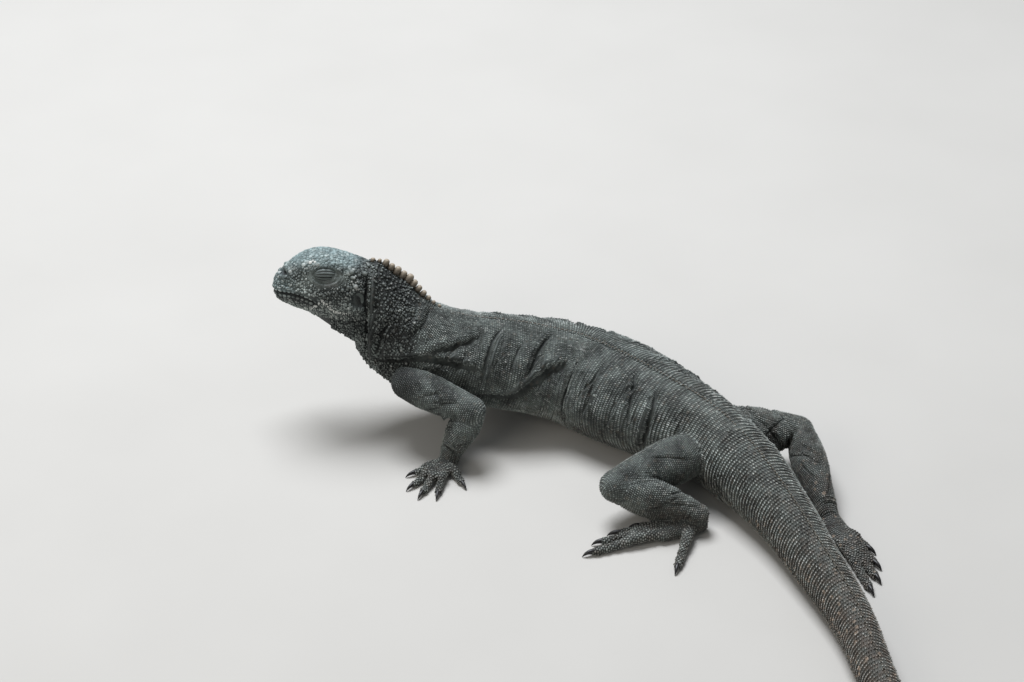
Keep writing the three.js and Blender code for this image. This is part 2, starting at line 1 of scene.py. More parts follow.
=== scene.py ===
"""The looks of a young marine iguana at life size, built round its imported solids.

The animal lies with its chest propped on its fore legs and its eyes shut. One skin covers all of it,
and solid scales stand on the skin in rows. Shapes are worked out in millimetres in the frame of the
solids, with +Z up, the head towards -X and the animal's left side towards -Y, and are written into
the meshes in metres.
"""

import json
import logging
import math
from collections.abc import Callable
from dataclasses import dataclass, field
from enum import Enum
from functools import partial

import bpy
import numpy as np
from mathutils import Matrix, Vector
from mathutils.bvhtree import BVHTree
from mathutils.kdtree import KDTree

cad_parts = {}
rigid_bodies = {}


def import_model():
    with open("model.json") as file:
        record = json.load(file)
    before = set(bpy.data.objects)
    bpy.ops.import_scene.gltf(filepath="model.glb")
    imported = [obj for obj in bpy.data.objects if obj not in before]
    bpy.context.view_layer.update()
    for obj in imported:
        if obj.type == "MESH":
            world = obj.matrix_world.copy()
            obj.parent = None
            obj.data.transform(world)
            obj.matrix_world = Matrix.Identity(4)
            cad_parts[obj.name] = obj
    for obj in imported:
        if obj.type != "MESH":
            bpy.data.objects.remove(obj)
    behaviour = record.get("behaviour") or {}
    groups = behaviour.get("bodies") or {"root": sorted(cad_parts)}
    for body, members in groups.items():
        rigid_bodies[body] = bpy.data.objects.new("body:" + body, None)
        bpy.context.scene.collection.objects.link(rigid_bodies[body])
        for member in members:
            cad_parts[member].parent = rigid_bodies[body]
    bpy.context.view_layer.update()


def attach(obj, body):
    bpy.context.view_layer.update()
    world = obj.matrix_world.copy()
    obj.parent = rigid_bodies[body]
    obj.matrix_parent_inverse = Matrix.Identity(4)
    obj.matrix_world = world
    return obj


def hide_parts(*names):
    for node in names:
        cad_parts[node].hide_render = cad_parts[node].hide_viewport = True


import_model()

log = logging.getLogger("iguana")
Array = np.ndarray

MM = 0.001
SEED = 11
COAT_DEPTH = 0.3  # how far the skin lies inside the solids, which the scales fill
VOXEL = 0.58  # grid that the skin is joined on
SKIN_TRIANGLES = 192_000
PATCH = 0.003  # width of a scale's place on the unwrap
HEAD_SLOT, BODY_SLOT, TAIL_SLOT, LEG_SLOT = "head_skin", "body_skin", "tail_skin", "leg_skin"


class Side(Enum):
    """A side of the animal, with the sign of its left-hand axis."""

    LEFT = 1
    RIGHT = -1


# Lines, outlines and closed forms


def gauss(distance: Array | float, spread: float) -> Array:
    """A bell of height 1 at distance 0."""
    return np.exp(-((np.asarray(distance) / spread) ** 2))


def ramp(value: Array | float, start: float, end: float) -> Array:
    """A smooth step from 0 at start to 1 at end."""
    t = np.clip((np.asarray(value, float) - start) / (end - start), 0, 1)
    return t * t * (3 - 2 * t)


def unit(vectors: Array) -> Array:
    """The vectors at length 1."""
    length = np.linalg.norm(vectors, axis=-1, keepdims=True)
    return vectors / np.maximum(length, 1e-9)


def blend(t: Array, start: Array, leaving: Array, end: Array, arriving: Array) -> Array:
    """A smooth course between two values.

    Args:
        t: The share of the way.
        start, leaving: The value and its slope at 0.
        end, arriving: The value and its slope at 1.

    Returns:
        The value at each share.
    """
    return (
        (2 * t**3 - 3 * t**2 + 1) * start
        + (t**3 - 2 * t**2 + t) * leaving
        + (3 * t**2 - 2 * t**3) * end
        + (t**3 - t**2) * arriving
    )


@dataclass(frozen=True)
class SmoothPath:
    """A smooth line through points, spaced by the root of their distance or drawn with a tension."""

    points: tuple[tuple[float, ...], ...]
    tension: float | None = None

    def at(self, share: Array | float) -> Array:
        """The points at shares of the line.

        Args:
            share: Shares from 0 to 1, one equal part for each stretch between two points.

        Returns:
            One point for each share.
        """
        points = np.asarray(self.points, float)
        last = len(points) - 1
        padded = np.vstack([2 * points[0] - points[1], points, 2 * points[-1] - points[-2]])
        place = np.clip(np.asarray(share, float), 0, 1) * last
        i = np.minimum(place.astype(int), last - 1)
        p0, p1, p2, p3 = (padded[i + k] for k in range(4))
        t = (place - i)[..., None]
        if self.tension is None:
            steps = (p1 - p0, p2 - p1, p3 - p2)
            d0, d1, d2 = (np.sqrt(np.linalg.norm(step, axis=-1, keepdims=True)) for step in steps)
            start = ((p1 - p0) / d0 - (p2 - p0) / (d0 + d1) + (p2 - p1) / d1) * d1
            end = ((p2 - p1) / d1 - (p3 - p1) / (d1 + d2) + (p3 - p2) / d2) * d1
        else:
            start, end = self.tension * (p2 - p0), self.tension * (p3 - p1)
        return blend(t, p1, start, p2, end)

    def direction(self, share: Array | float) -> Array:
        """The unit directions of the line at shares of it."""
        share = np.asarray(share, float)
        return unit(self.at(np.minimum(share + 1e-4, 1)) - self.at(np.maximum(share - 1e-4, 0)))


@dataclass(frozen=True)
class Profile:
    """A smooth value between stations along a length."""

    places: tuple[float, ...]
    values: tuple[float, ...]

    def at(self, x: Array | float) -> Array:
        """The value at places.

        Args:
            x: The places.

        Returns:
            One value for each.
        """
        xs, ys = np.asarray(self.places, float), np.asarray(self.values, float)
        order = np.arange(len(xs))
        before, after = np.maximum(order - 1, 0), np.minimum(order + 1, len(xs) - 1)
        slopes = (ys[after] - ys[before]) / (xs[after] - xs[before])
        i = np.clip(np.searchsorted(xs, x, side="right") - 1, 0, len(xs) - 2)
        span = xs[i + 1] - xs[i]
        t = np.clip((x - xs[i]) / span, 0, 1)
        return blend(t, ys[i], span * slopes[i], ys[i + 1], span * slopes[i + 1])


def outline(
    angle: Array, wide: Array, top: Array, bottom: Array, full: tuple[Array | float, Array | float]
) -> tuple[Array, Array]:
    """A rounded outline, fuller or leaner than an ellipse above and below.

    Args:
        angle: Angles from the left side, 90 degrees being the top.
        wide: Half width.
        top, bottom: Reach above and below the middle.
        full: Fullness above and below; 2 is an ellipse, less is leaner and more is squarer.

    Returns:
        How far each point lies to the left and how high.
    """
    c, s = np.cos(angle), np.sin(angle)
    power = 2 / np.where(s > 0, full[0], full[1])
    height = np.where(s > 0, top, bottom)
    return np.sign(c) * wide * np.abs(c) ** power, np.sign(s) * height * np.abs(s) ** power


def tube(centres: Array, along: Array, wide: Array, high: Array) -> Array:
    """Rings round a line.

    Args:
        centres, along: A point and the line's unit direction for each ring.
        wide, high: How far each point of each ring lies to the side and upwards.

    Returns:
        The rings' points.
    """
    across = unit(np.cross(along, (0, 0, 1)))
    upright = np.cross(across, along)
    return centres[:, None] + across[:, None] * wide[..., None] + upright[:, None] * high[..., None]


def closed_mesh(rings: Array, first: Array, last: Array) -> tuple[Array, Array]:
    """Joins rings to one closed mesh that is turned outwards.

    Args:
        rings: The points, ring by ring.
        first, last: The points that close the first and the last ring.

    Returns:
        Its points and triangles.
    """
    count, sides, _ = rings.shape
    points = np.vstack([rings.reshape(-1, 3), first, last])
    i = np.arange(sides)
    j = (i + 1) % sides
    faces = []
    for a in range(0, (count - 1) * sides, sides):
        b = a + sides
        faces += [np.stack([a + i, a + j, b + j], 1), np.stack([a + i, b + j, b + i], 1)]
    end = (count - 1) * sides
    tip, base = np.full(sides, count * sides), np.full(sides, count * sides + 1)
    faces += [np.stack([tip, j, i], 1), np.stack([base, end + i, end + j], 1)]
    triangles = np.concatenate(faces)
    a, b, c = (points[triangles[:, k]] - points.mean(0) for k in range(3))
    return points, triangles[:, ::-1] if (a * np.cross(b, c)).sum() < 0 else triangles


@dataclass
class Guide:
    """A closed form as rings of points. Scales and patterns are laid out on it.

    Attributes:
        name: Its name.
        rings: The points, ring by ring, each ring starting at the animal's left.
        lie: 1 if scales point along the rings' order, -1 if against it.
        parent: The name of the form that it grows out of.
        fillet: Width of the rounded seat where it grows out of its parent.
        stations: A value for each ring, such as its station on the spine.
        zoom: How much larger than life it is on the unwrap.
        cuts: The distances along it at which the unwrap is cut.
    """

    name: str
    rings: Array
    lie: int = 1
    parent: str = ""
    fillet: float = 1.0
    stations: Array = field(default_factory=lambda: np.zeros(0))
    zoom: float = 1.0
    cuts: tuple[float, ...] = ()

    def __post_init__(self) -> None:
        """Works out distances along and around."""
        steps = np.linalg.norm(np.diff(self.rings.mean(1), axis=0), axis=1)
        self.lengths = np.concatenate([[0], np.cumsum(steps)])
        closed = np.concatenate([self.rings, self.rings[:, :1]], axis=1)
        round_steps = np.linalg.norm(np.diff(closed, axis=1), axis=2)
        self.rounds = np.concatenate([np.zeros((len(closed), 1)), np.cumsum(round_steps, axis=1)], axis=1)
        self.tree = None

    def mesh(self) -> tuple[Array, Array]:
        """Its points and triangles, with a fan over each end."""
        return closed_mesh(self.rings, *self.rings[[0, -1]].mean(1))

    def at(self, row: Array, column: Array) -> Array:
        """The points at fractional rows and columns.

        Args:
            row, column: The rows and columns.

        Returns:
            One point for each.
        """
        count, sides, _ = self.rings.shape
        r = np.clip(np.asarray(row, float), 0, count - 1 - 1e-6)
        c = np.asarray(column, float) % sides
        r0, c0 = r.astype(int), c.astype(int) % sides
        c1 = (c0 + 1) % sides
        fr, fc = (r - r0)[..., None], (c - np.floor(c))[..., None]
        near = self.rings[r0, c0] * (1 - fc) + self.rings[r0, c1] * fc
        far = self.rings[r0 + 1, c0] * (1 - fc) + self.rings[r0 + 1, c1] * fc
        return near * (1 - fr) + far * fr

    def along(self, row: Array, column: Array) -> Array:
        """The unit directions in which scales point at fractional rows and columns."""
        row = np.asarray(row, float)
        return unit(self.at(row + 0.5, column) - self.at(row - 0.5, column)) * self.lie

    def row_at(self, length: Array | float) -> Array:
        """The fractional rows at distances along the middle line."""
        return np.interp(length, self.lengths, np.arange(len(self.lengths)))

    def nearest(self, points: Array, reach: float) -> tuple[Array, Array, Array]:
        """Where points lie on the form.

        Args:
            points: The points, in millimetres.
            reach: The furthest distance that counts.

        Returns:
            The distance, row and column for each point; the distance is infinite past the reach.
        """
        verts, triangles = self.mesh()
        if self.tree is None:
            self.tree = BVHTree.FromPolygons(verts.tolist(), triangles.tolist())
        distance = np.full(len(points), np.inf)
        rows, columns = np.zeros(len(points)), np.zeros(len(points))
        low, high = self.rings.min((0, 1)) - reach, self.rings.max((0, 1)) + reach
        inside = np.nonzero(((points > low) & (points < high)).all(1))[0]
        found, where = [], []
        for i in inside.tolist():
            spot, _, index, gap = self.tree.find_nearest(points[i], reach)
            if spot is not None:
                found.append((i, index, gap))
                where.append(tuple(spot))
        if not found:
            return distance, rows, columns
        picked, faces, gaps = (np.array(v) for v in zip(*found))
        spots = np.array(where)
        count, sides, _ = self.rings.shape
        corner = triangles[faces.astype(int)]
        a, b, c = (verts[corner[:, k]] for k in range(3))
        v0, v1, v2 = b - a, c - a, spots - a
        d00, d01, d11 = (v0 * v0).sum(1), (v0 * v1).sum(1), (v1 * v1).sum(1)
        d20, d21 = (v2 * v0).sum(1), (v2 * v1).sum(1)
        scale = np.maximum(d00 * d11 - d01 * d01, 1e-12)
        wb, wc = (d11 * d20 - d01 * d21) / scale, (d00 * d21 - d01 * d20) / scale
        weights = np.stack([1 - wb - wc, wb, wc], 1)
        r = np.minimum(corner // sides, count - 1).astype(float)
        fan = corner >= count * sides
        r[corner == count * sides] = 0
        k = (corner % sides).astype(float)
        k = np.where(fan, k[np.arange(len(k)), np.argmin(fan, 1)][:, None], k)
        wraps = (k.max(1) - k.min(1)) > sides / 2
        k = np.where(wraps[:, None] & (k < sides / 2), k + sides, k)
        distance[picked.astype(int)] = gaps
        rows[picked.astype(int)] = (r * weights).sum(1)
        columns[picked.astype(int)] = (k * weights).sum(1)
        return distance, rows, columns


# The animal's forms


@dataclass(frozen=True)
class Spine:
    """The neck, trunk and tail, as rings across the spine.

    Attributes:
        line: Centres, from inside the head to the tip of the tail.
        sizes: Half width, reach above and reach below the centre, for each centre.
        rolls: Degrees that the left side is turned up, for each centre.
        tail_root: The station behind the hips, where the outline becomes an ellipse.
    """

    line: tuple[tuple[float, ...], ...] = (
        (-172, 31.6, 66.5), (-160, 31.2, 66), (-150.5, 30.6, 65.4), (-142, 30, 64.8),
        (-136.5, 29.4, 63), (-130.5, 28.6, 59), (-123, 27, 53.5), (-113, 25, 46.5),
        (-96, 24, 38.8), (-75, 25.5, 33.5), (-54, 27.5, 28.5), (-33, 25, 24.6),
        (-12.2, 9.9, 23.8), (8.6, -8.2, 23.5), (28.5, -27.4, 22.5), (44.4, -50.9, 20),
        (59.5, -82, 17), (72.5, -118, 14.6), (84.5, -155, 12.7), (92, -196, 11),
        (101, -237, 8.9), (119, -273, 6.7), (148, -301, 4.3), (180, -319, 1.8),
    )  # fmt: skip
    sizes: tuple[tuple[float, ...], ...] = (
        (6, 4, 5.6), (11, 8, 13), (13.2, 13, 17.8), (14.2, 22.2, 22.2),
        (14.8, 19.6, 22.2), (16.6, 19, 25.4), (18, 18.4, 28), (20.5, 19.6, 28),
        (24, 21.4, 24.4), (26.5, 23, 23.5), (28.5, 23, 23.5), (30, 23.5, 24.9),
        (30, 23.6, 24.6), (25.2, 22, 24.2), (19.6, 20.2, 23.2), (17.2, 18.4, 20.6),
        (13.4, 16, 17.4), (10.8, 14, 14.9), (9.2, 12.4, 13), (8, 11, 11.3),
        (6.2, 9.2, 9.1), (4.4, 7.1, 6.9), (2.7, 4.7, 4.5), (0.8, 1.4, 2),
    )  # fmt: skip
    rolls: tuple[float, ...] = (15, 15, 15, 14, 14, 13, 12, 9, 7, 5, 3, 1) + (0,) * 12
    trunk_full: tuple[float, float] = (1.85, 2.25)
    tail_root: float = 15
    ring_step: float = 1.5
    ring_sides: int = 88

    @property
    def last(self) -> int:
        """The last station."""
        return len(self.line) - 1

    def frames(self, station: Array | float) -> tuple[Array, Array, Array, Array]:
        """The spine's frame at stations.

        Args:
            station: The stations.

        Returns:
            Their centres, and the directions to the tail, to the animal's left and upwards.
        """
        station = np.asarray(station, float)
        path = SmoothPath(self.line)
        centre, along = path.at(station / self.last), path.direction(station / self.last)
        left = unit(np.cross(along, (0, 0, 1)))
        up = np.cross(left, along)
        turn = -np.radians(np.interp(station, np.arange(len(self.rolls)), self.rolls))[..., None]
        rolled_left = left * np.cos(turn) + np.cross(along, left) * np.sin(turn)
        rolled_up = up * np.cos(turn) + np.cross(along, up) * np.sin(turn)
        return centre, along, rolled_left, rolled_up

    def skin_point(self, station: Array | float, degrees: Array | float, grow: float = 0) -> Array:
        """Points of the skin.

        Args:
            station: Their stations.
            degrees: Their angles, the left being 0 and the back 90.
            grow: How far they lie outside it.

        Returns:
            The points.
        """
        station, angle = np.broadcast_arrays(np.asarray(station, float), np.radians(degrees))
        centre, _, left, up = self.frames(station)
        size = SmoothPath(self.sizes, tension=0.5).at(station / self.last)
        trunk = station < self.tail_root
        full = (np.where(trunk, self.trunk_full[0], 2), np.where(trunk, self.trunk_full[1], 2))
        across, height = outline(angle, size[..., 0] + grow, size[..., 1] + grow, size[..., 2] + grow, full)
        return centre + left * across[..., None] + up * height[..., None]

    def even_stations(self, first: float, last: float, step: float) -> Array:
        """Evenly spaced stations.

        Args:
            first, last: Where they begin and end.
            step: The distance between them, in millimetres.

        Returns:
            The stations.
        """
        fine = np.linspace(first, last, 2000)
        centres = SmoothPath(self.line).at(fine / self.last)
        lengths = np.concatenate([[0], np.cumsum(np.linalg.norm(np.diff(centres, axis=0), axis=1))])
        return np.interp(np.arange(0, lengths[-1], step), lengths, fine)

    def guide(self) -> Guide:
        """The neck, trunk and tail as one closed form.

        Returns:
            The form.
        """
        stations = np.append(self.even_stations(0, self.last, self.ring_step), self.last)
        degrees = np.arange(self.ring_sides) * 360 / self.ring_sides
        rings = self.skin_point(stations[:, None], degrees[None, :], -COAT_DEPTH)
        rings[..., 2] = np.maximum(rings[..., 2], COAT_DEPTH)
        return Guide("spine", rings, stations=stations, cuts=(150, 300, 470))


@dataclass(frozen=True)
class Head:
    """The head, in a frame of its own: x to the snout, y to the left and z up.

    Attributes:
        centre: The middle between the two ears.
        roll: Degrees that the left cheek is turned up.
        places: Distances of the stations in front of the ears.
        tops, bottoms, widths, levels: Top and bottom line, half width and its level, at the places.
        swellings: Soft swellings and hollows: x, z, length, height and how far out.
        eye, ear, nostril: Their x and z in the head.
        crusts: Lines through the pale crusts, x and z.
    """

    centre: tuple[float, float, float] = (-145.6, 31.2, 70)
    roll: float = 15
    length: float = 42.7
    places: tuple[float, ...] = (-5, 0, 7, 14, 20, 26, 32, 37, 40.5, 42.2, 42.7)
    tops: tuple[float, ...] = (16.2, 18.3, 20.8, 22.9, 23.2, 21.9, 18.4, 14.3, 10.6, 7.8, 6.2)
    bottoms: tuple[float, ...] = (-14.6, -15, -14, -12.4, -10.8, -9, -7, -4.8, -2.6, 0.4, 3)
    widths: tuple[float, ...] = (14, 14.8, 14.8, 13.9, 12.6, 11.2, 9.8, 8.2, 6.2, 3.9, 1.6)
    levels: tuple[float, ...] = (-1.8, -2, -1.5, -1, 0, 1, 1.6, 2.4, 3.4, 4.2, 4.8)
    full: tuple[float, float] = (2.35, 2.1)
    swellings: tuple[tuple[float, ...], ...] = (
        (15, 17.6, 9, 2.4, 1.1),  # brow
        (15, 12.4, 8, 4.8, -1.4),  # hollow round the eye
        (2, -7, 7, 5.5, 1.3),  # jowl
        (28, 2.6, 11, 2, 0.7),  # upper lip
        (37.3, 12, 2.6, 2.4, 0.8),  # rim of the nostril
        (27, 15, 6, 2.2, 0.5),  # ridge from brow to nostril
    )
    eye: tuple[float, float] = (15.6, 11.7)
    eye_depth: float = 9.6
    lid: tuple[float, float, float] = (6.0, 2.7, 3.7)
    ear: tuple[float, float] = (-0.4, 0.4)
    ear_depth: float = 13.1
    drum: tuple[float, float, float] = (2.9, 0.7, 3.5)
    nostril: tuple[float, float, float] = (37.3, 5.1, 12)
    mouth: tuple[tuple[float, float], ...] = (
        (20, -3.4), (22.5, -1.5), (27, 0.4), (32, 1.6), (37, 1.9), (43, 2.2),
    )  # fmt: skip
    crusts: tuple[tuple[tuple[float, float], ...], ...] = (
        ((24.2, -5.8), (20.5, -3.6), (17.2, -0.2)),
        ((17.2, -1.2), (11.2, -6.4), (4.2, -7)),
        ((24, 17.6), (20.8, 18.2)),
    )
    ring_step: float = 0.6
    ring_sides: int = 88

    @property
    def axes(self) -> Array:
        """The head's x, y and z as rows."""
        c, s = math.cos(math.radians(self.roll)), math.sin(math.radians(self.roll))
        return np.array([[-1, 0, 0], [0, -c, s], [0, s, c]], float)

    def to_world(self, points: Array) -> Array:
        """Points of the head in the frame of the solids."""
        return np.asarray(points, float) @ self.axes + np.asarray(self.centre)

    def to_head(self, points: Array) -> Array:
        """Points of the frame of the solids in the head's own."""
        return (np.asarray(points, float) - np.asarray(self.centre)) @ self.axes.T

    def mouth_at(self, x: Array | float) -> Array:
        """The height of the line between the lips at distances in front of the ears."""
        return np.interp(x, *np.array(self.mouth).T)

    def round_eye(self, points: Array) -> tuple[Array, Array]:
        """How far points lie from the middle of the lid, 1 being its edge, and how far below it."""
        x, _, z = self.to_head(points).T
        ring = np.hypot((x - self.eye[0]) / self.lid[0], (z - self.eye[1]) / self.lid[2])
        return ring, ramp(self.eye[1] + 1.5 - z, -2, 3)

    def surface(self, x: Array, angle: Array, grow: float = 0) -> Array:
        """Points of the head in its own frame.

        Args:
            x: Their distances in front of the ears.
            angle: Their angles round it.
            grow: How far they lie outside it.

        Returns:
            The points.
        """
        x, angle = np.broadcast_arrays(np.asarray(x, float), np.asarray(angle, float))
        lines = (self.tops, self.bottoms, self.widths, self.levels)
        top, bottom, wide, level = (Profile(self.places, values).at(x) for values in lines)
        across, height = outline(angle, wide + grow, top - level + grow, level - bottom + grow, self.full)
        z = level + height
        push = sum(out * gauss(x - a, long) * gauss(z - b, high) for a, b, long, high, out in self.swellings)
        return np.stack([x, across + np.sign(np.cos(angle)) * push * np.abs(np.cos(angle)), z], -1)

    def side_point(self, x: float, z: float, side: Side) -> Array:
        """A point of the head's side, in its own frame.

        Args:
            x: Its distance in front of the ears.
            z: Its height.
            side: The side.

        Returns:
            The point.
        """
        angles = np.linspace(-math.pi / 2, math.pi / 2, 721)
        ring = self.surface(np.full_like(angles, x), angles, -COAT_DEPTH)
        spot = ring[np.argmin(np.abs(ring[:, 2] - z))]
        return spot * (1, side.value, 1)

    def guide(self) -> Guide:
        """The head as one closed form.

        Returns:
            The form.
        """
        x = np.append(np.arange(-5, self.length - 0.9, self.ring_step), [self.length - 0.5, self.length - 0.1])
        angles = np.arange(self.ring_sides) * 2 * math.pi / self.ring_sides
        rings = self.surface(x[:, None], angles[None, :], -COAT_DEPTH)
        back = rings[0] * (1, 0.55, 0.55) + (-2.5, 0, 0)
        rings = self.to_world(np.concatenate([back[None], rings]))
        return Guide("head", rings, lie=-1, parent="spine", zoom=1.5)


@dataclass(frozen=True)
class LegPlan:
    """The sizes of a kind of leg, in millimetres.

    Attributes:
        upper, lower: Half sizes of its two long parts, across and deep.
        palm: Length, half width and height of the sole.
        toe_radius: Half width of a toe at its root.
        toes: For each toe from the inner one: place ahead and aside of the ankle, turn and length.
        solids: The names of the solids that it is packed as.
    """

    upper: tuple[Profile, Profile]
    lower: tuple[Profile, Profile]
    palm: tuple[float, float, float]
    toe_radius: float
    toes: tuple[tuple[float, float, float, float], ...]
    solids: tuple[str, str, str]


class LegKind(Enum):
    """A fore or a hind leg."""

    FORE = LegPlan(
        (Profile((0, 0.3, 1), (8, 9, 7.6)), Profile((0, 0.3, 1), (8.4, 9.4, 7.4))),
        (Profile((0, 0.35, 1), (7.6, 9, 6.4)), Profile((0, 0.35, 1), (7.4, 8, 5.2))),
        (11, 6.2, 4.6),
        2.4,
        ((8, -4.4, -36, 10), (11, -2.8, -14, 14.5), (12, -0.4, 3, 16.5), (11, 2.2, 19, 15), (6.5, 4.4, 54, 10.5)),
        ("upper_arm", "forearm", "hand"),
    )
    HIND = LegPlan(
        (Profile((0, 0.3, 0.6, 1), (10, 12, 11, 8.2)), Profile((0, 0.3, 0.6, 1), (9.6, 11.4, 10.4, 8))),
        (Profile((0, 0.38, 0.8, 1), (7.6, 8.6, 6, 5.2)), Profile((0, 0.38, 0.8, 1), (7.4, 10.6, 8, 5.4))),
        (20, 6.4, 5.2),
        2.7,
        ((15, -4, -24, 12), (19, -2.6, -14, 19), (21, -0.6, -6, 26), (21, 1.8, 2, 33), (6, 4.2, 56, 25)),
        ("thigh", "shank", "foot"),
    )


@dataclass(frozen=True)
class Leg:
    """One leg, from its root to its toes.

    Attributes:
        name: Its name.
        kind: Fore or hind.
        side: The animal's side that it is on.
        joints: Root, bend and ankle.
        heading: Where the foot points, along the floor.
    """

    name: str
    kind: LegKind
    side: Side
    joints: tuple[tuple[float, float, float], ...]
    heading: tuple[float, float]

    @property
    def plan(self) -> LegPlan:
        """Its sizes."""
        return self.kind.value

    @property
    def ahead(self) -> Array:
        """The unit direction in which the foot points."""
        return unit(np.array([*self.heading, 0.0]))

    def segment(self, name: str, a: Array, b: Array, sizes: tuple[Profile, Profile], count: int = 44) -> Guide:
        """A rounded form with a dome at each end.

        Args:
            name: The part's name.
            a, b: Where it begins and ends.
            sizes: Its half sizes across and deep.
            count: Points in a ring.

        Returns:
            The form.
        """
        along = unit(b - a)
        length = float(np.linalg.norm(b - a))
        wide, high = sizes
        start, end = (float(high.at(share)) - COAT_DEPTH for share in (0.0, 1.0))
        rows = [(-start * math.sin(t), 0.0, math.cos(t)) for t in np.radians(np.arange(80, 0, -12))]
        rows += [(share * length, share, 1.0) for share in np.linspace(0, 1, max(6, int(length / 1.4)))]
        rows += [(length + end * math.sin(t), 1.0, math.cos(t)) for t in np.radians(np.arange(8, 84, 12))]
        distance, share, scale = (np.array(values)[:, None] for values in zip(*rows))
        angles = np.arange(count) * 2 * math.pi / count
        across = np.cos(angles) * (wide.at(share) - COAT_DEPTH) * scale
        deep = np.sin(angles) * (high.at(share) - COAT_DEPTH) * scale
        rings = tube(a + along * distance, np.broadcast_to(along, (len(rows), 3)), across, deep)
        return Guide(f"{self.name}_{name}", rings)

    def toe_line(self, index: int) -> tuple[Array, Array]:
        """Where a toe lies on the floor.

        Args:
            index: The toe, from the inner one.

        Returns:
            Its root and direction.
        """
        ahead = self.ahead
        aside = np.array([ahead[1], -ahead[0], 0.0]) * -self.side.value
        forward, sideways, turn, _ = self.plan.toes[index]
        angle = math.radians(turn) * self.side.value
        c, s = math.cos(angle), math.sin(angle)
        direction = np.array([ahead[0] * c - ahead[1] * s, ahead[0] * s + ahead[1] * c, 0.0])
        return np.array(self.joints[2]) + ahead * forward + aside * sideways, direction

    def toe_guide(self, index: int, count: int = 22) -> Guide:
        """One toe with soft pads under its joints.

        Args:
            index: The toe, from the inner one.
            count: Points in a ring.

        Returns:
            Its closed form.
        """
        root, direction = self.toe_line(index)
        length, radius = self.plan.toes[index][3], self.plan.toe_radius
        stations = (-3, length * 0.33, length * 0.7, length)
        heights = (radius + 0.6, radius + 1.5, radius * 0.9, radius * 0.64)
        path = SmoothPath(tuple((*(root + direction * d)[:2], z) for d, z in zip(stations, heights)))
        shares = np.linspace(0, 1, max(12, int(length / 0.7)))
        girth = radius * Profile((0, 0.35, 0.5, 1), (1, 0.94, 0.8, 0.74)).at(shares) - 0.15
        joints = 0.07 * radius * np.cos(shares * length / 5.2 * 2 * math.pi)
        angles = np.arange(count) * 2 * math.pi / count
        size = (girth + joints)[:, None]
        rings = tube(path.at(shares), path.direction(shares), np.cos(angles) * size, np.sin(angles) * size)
        tip = rings[-1].mean(0)
        ends = [tip + (rings[-1] - tip) * s + direction * girth[-1] * d for s, d in ((0.85, 0.5), (0.5, 0.85))]
        rings = np.concatenate([rings, np.array(ends)])
        rings[..., 2] = np.maximum(rings[..., 2], 0.1)
        return Guide(f"{self.name}_toe_{index + 1}", rings, parent=f"{self.name}_sole", fillet=1.2)

    def guides(self) -> list[Guide]:
        """The leg's closed forms.

        Returns:
            The forms, from the root to the toes.
        """
        root, bend, ankle = (np.array(joint, float) for joint in self.joints)
        length, wide, high = self.plan.palm
        heel = np.array([*ankle[:2], high * 0.8])
        ball = np.array([*(heel + self.ahead * length)[:2], high * 0.62])
        palm = (Profile((0, 1), (wide * 0.78, wide)), Profile((0, 1), (high, high * 0.66)))
        upper = self.segment("upper", root, bend, self.plan.upper)
        lower = self.segment("lower", bend, ankle, self.plan.lower)
        sole = self.segment("sole", heel, ball, palm)
        upper.parent, lower.parent, sole.parent = "spine", upper.name, lower.name
        upper.fillet, lower.fillet, sole.fillet = 4.5, 1.8, 2.6
        for guide in (lower, sole):
            guide.rings[..., 2] = np.maximum(guide.rings[..., 2], 0.1)
        return [upper, lower, sole, *(self.toe_guide(i) for i in range(len(self.plan.toes)))]


LEFT, RIGHT, FORE, HIND = *Side, *LegKind
LEGS = (
    Leg("front_left", FORE, LEFT, ((-121, 1, 35.5), (-89, -15, 29.5), (-99.5, -18.5, 7.5)), (-0.47, -0.88)),
    Leg("front_right", FORE, RIGHT, ((-111, 40, 35), (-86, 61, 27), (-101, 66, 7.5)), (-0.86, 0.51)),
    Leg("hind_left", HIND, LEFT, ((23, -37.5, 22.5), (-19.4, -64.2, 19.5), (20.5, -73, 9.3)), (-0.95, -0.31)),
    Leg("hind_right", HIND, RIGHT, ((32, -24, 25.5), (72.9, -17.5, 19), (83, -67, 7)), (0.32, -0.95)),
)


# Folds, pits and markings


@dataclass(frozen=True)
class Fold:
    """A crease of the skin with a raised lip.

    Attributes:
        path: Stations of the spine and angles in degrees that it runs through.
        width: Half width of the crease, in millimetres.
        depth: How deep it goes.
        rise: How far its lip stands out.
        lip: The direction of the lip from the crease.
    """

    path: tuple[tuple[float, float], ...]
    width: float
    depth: float
    rise: float
    lip: tuple[float, float, float] = (1, 0, 0)

    def mirrored(self) -> "Fold":
        """The same fold on the other side."""
        path = tuple((station, 180 - degrees) for station, degrees in self.path)
        return Fold(path, self.width, self.depth, self.rise, (self.lip[0], -self.lip[1], self.lip[2]))


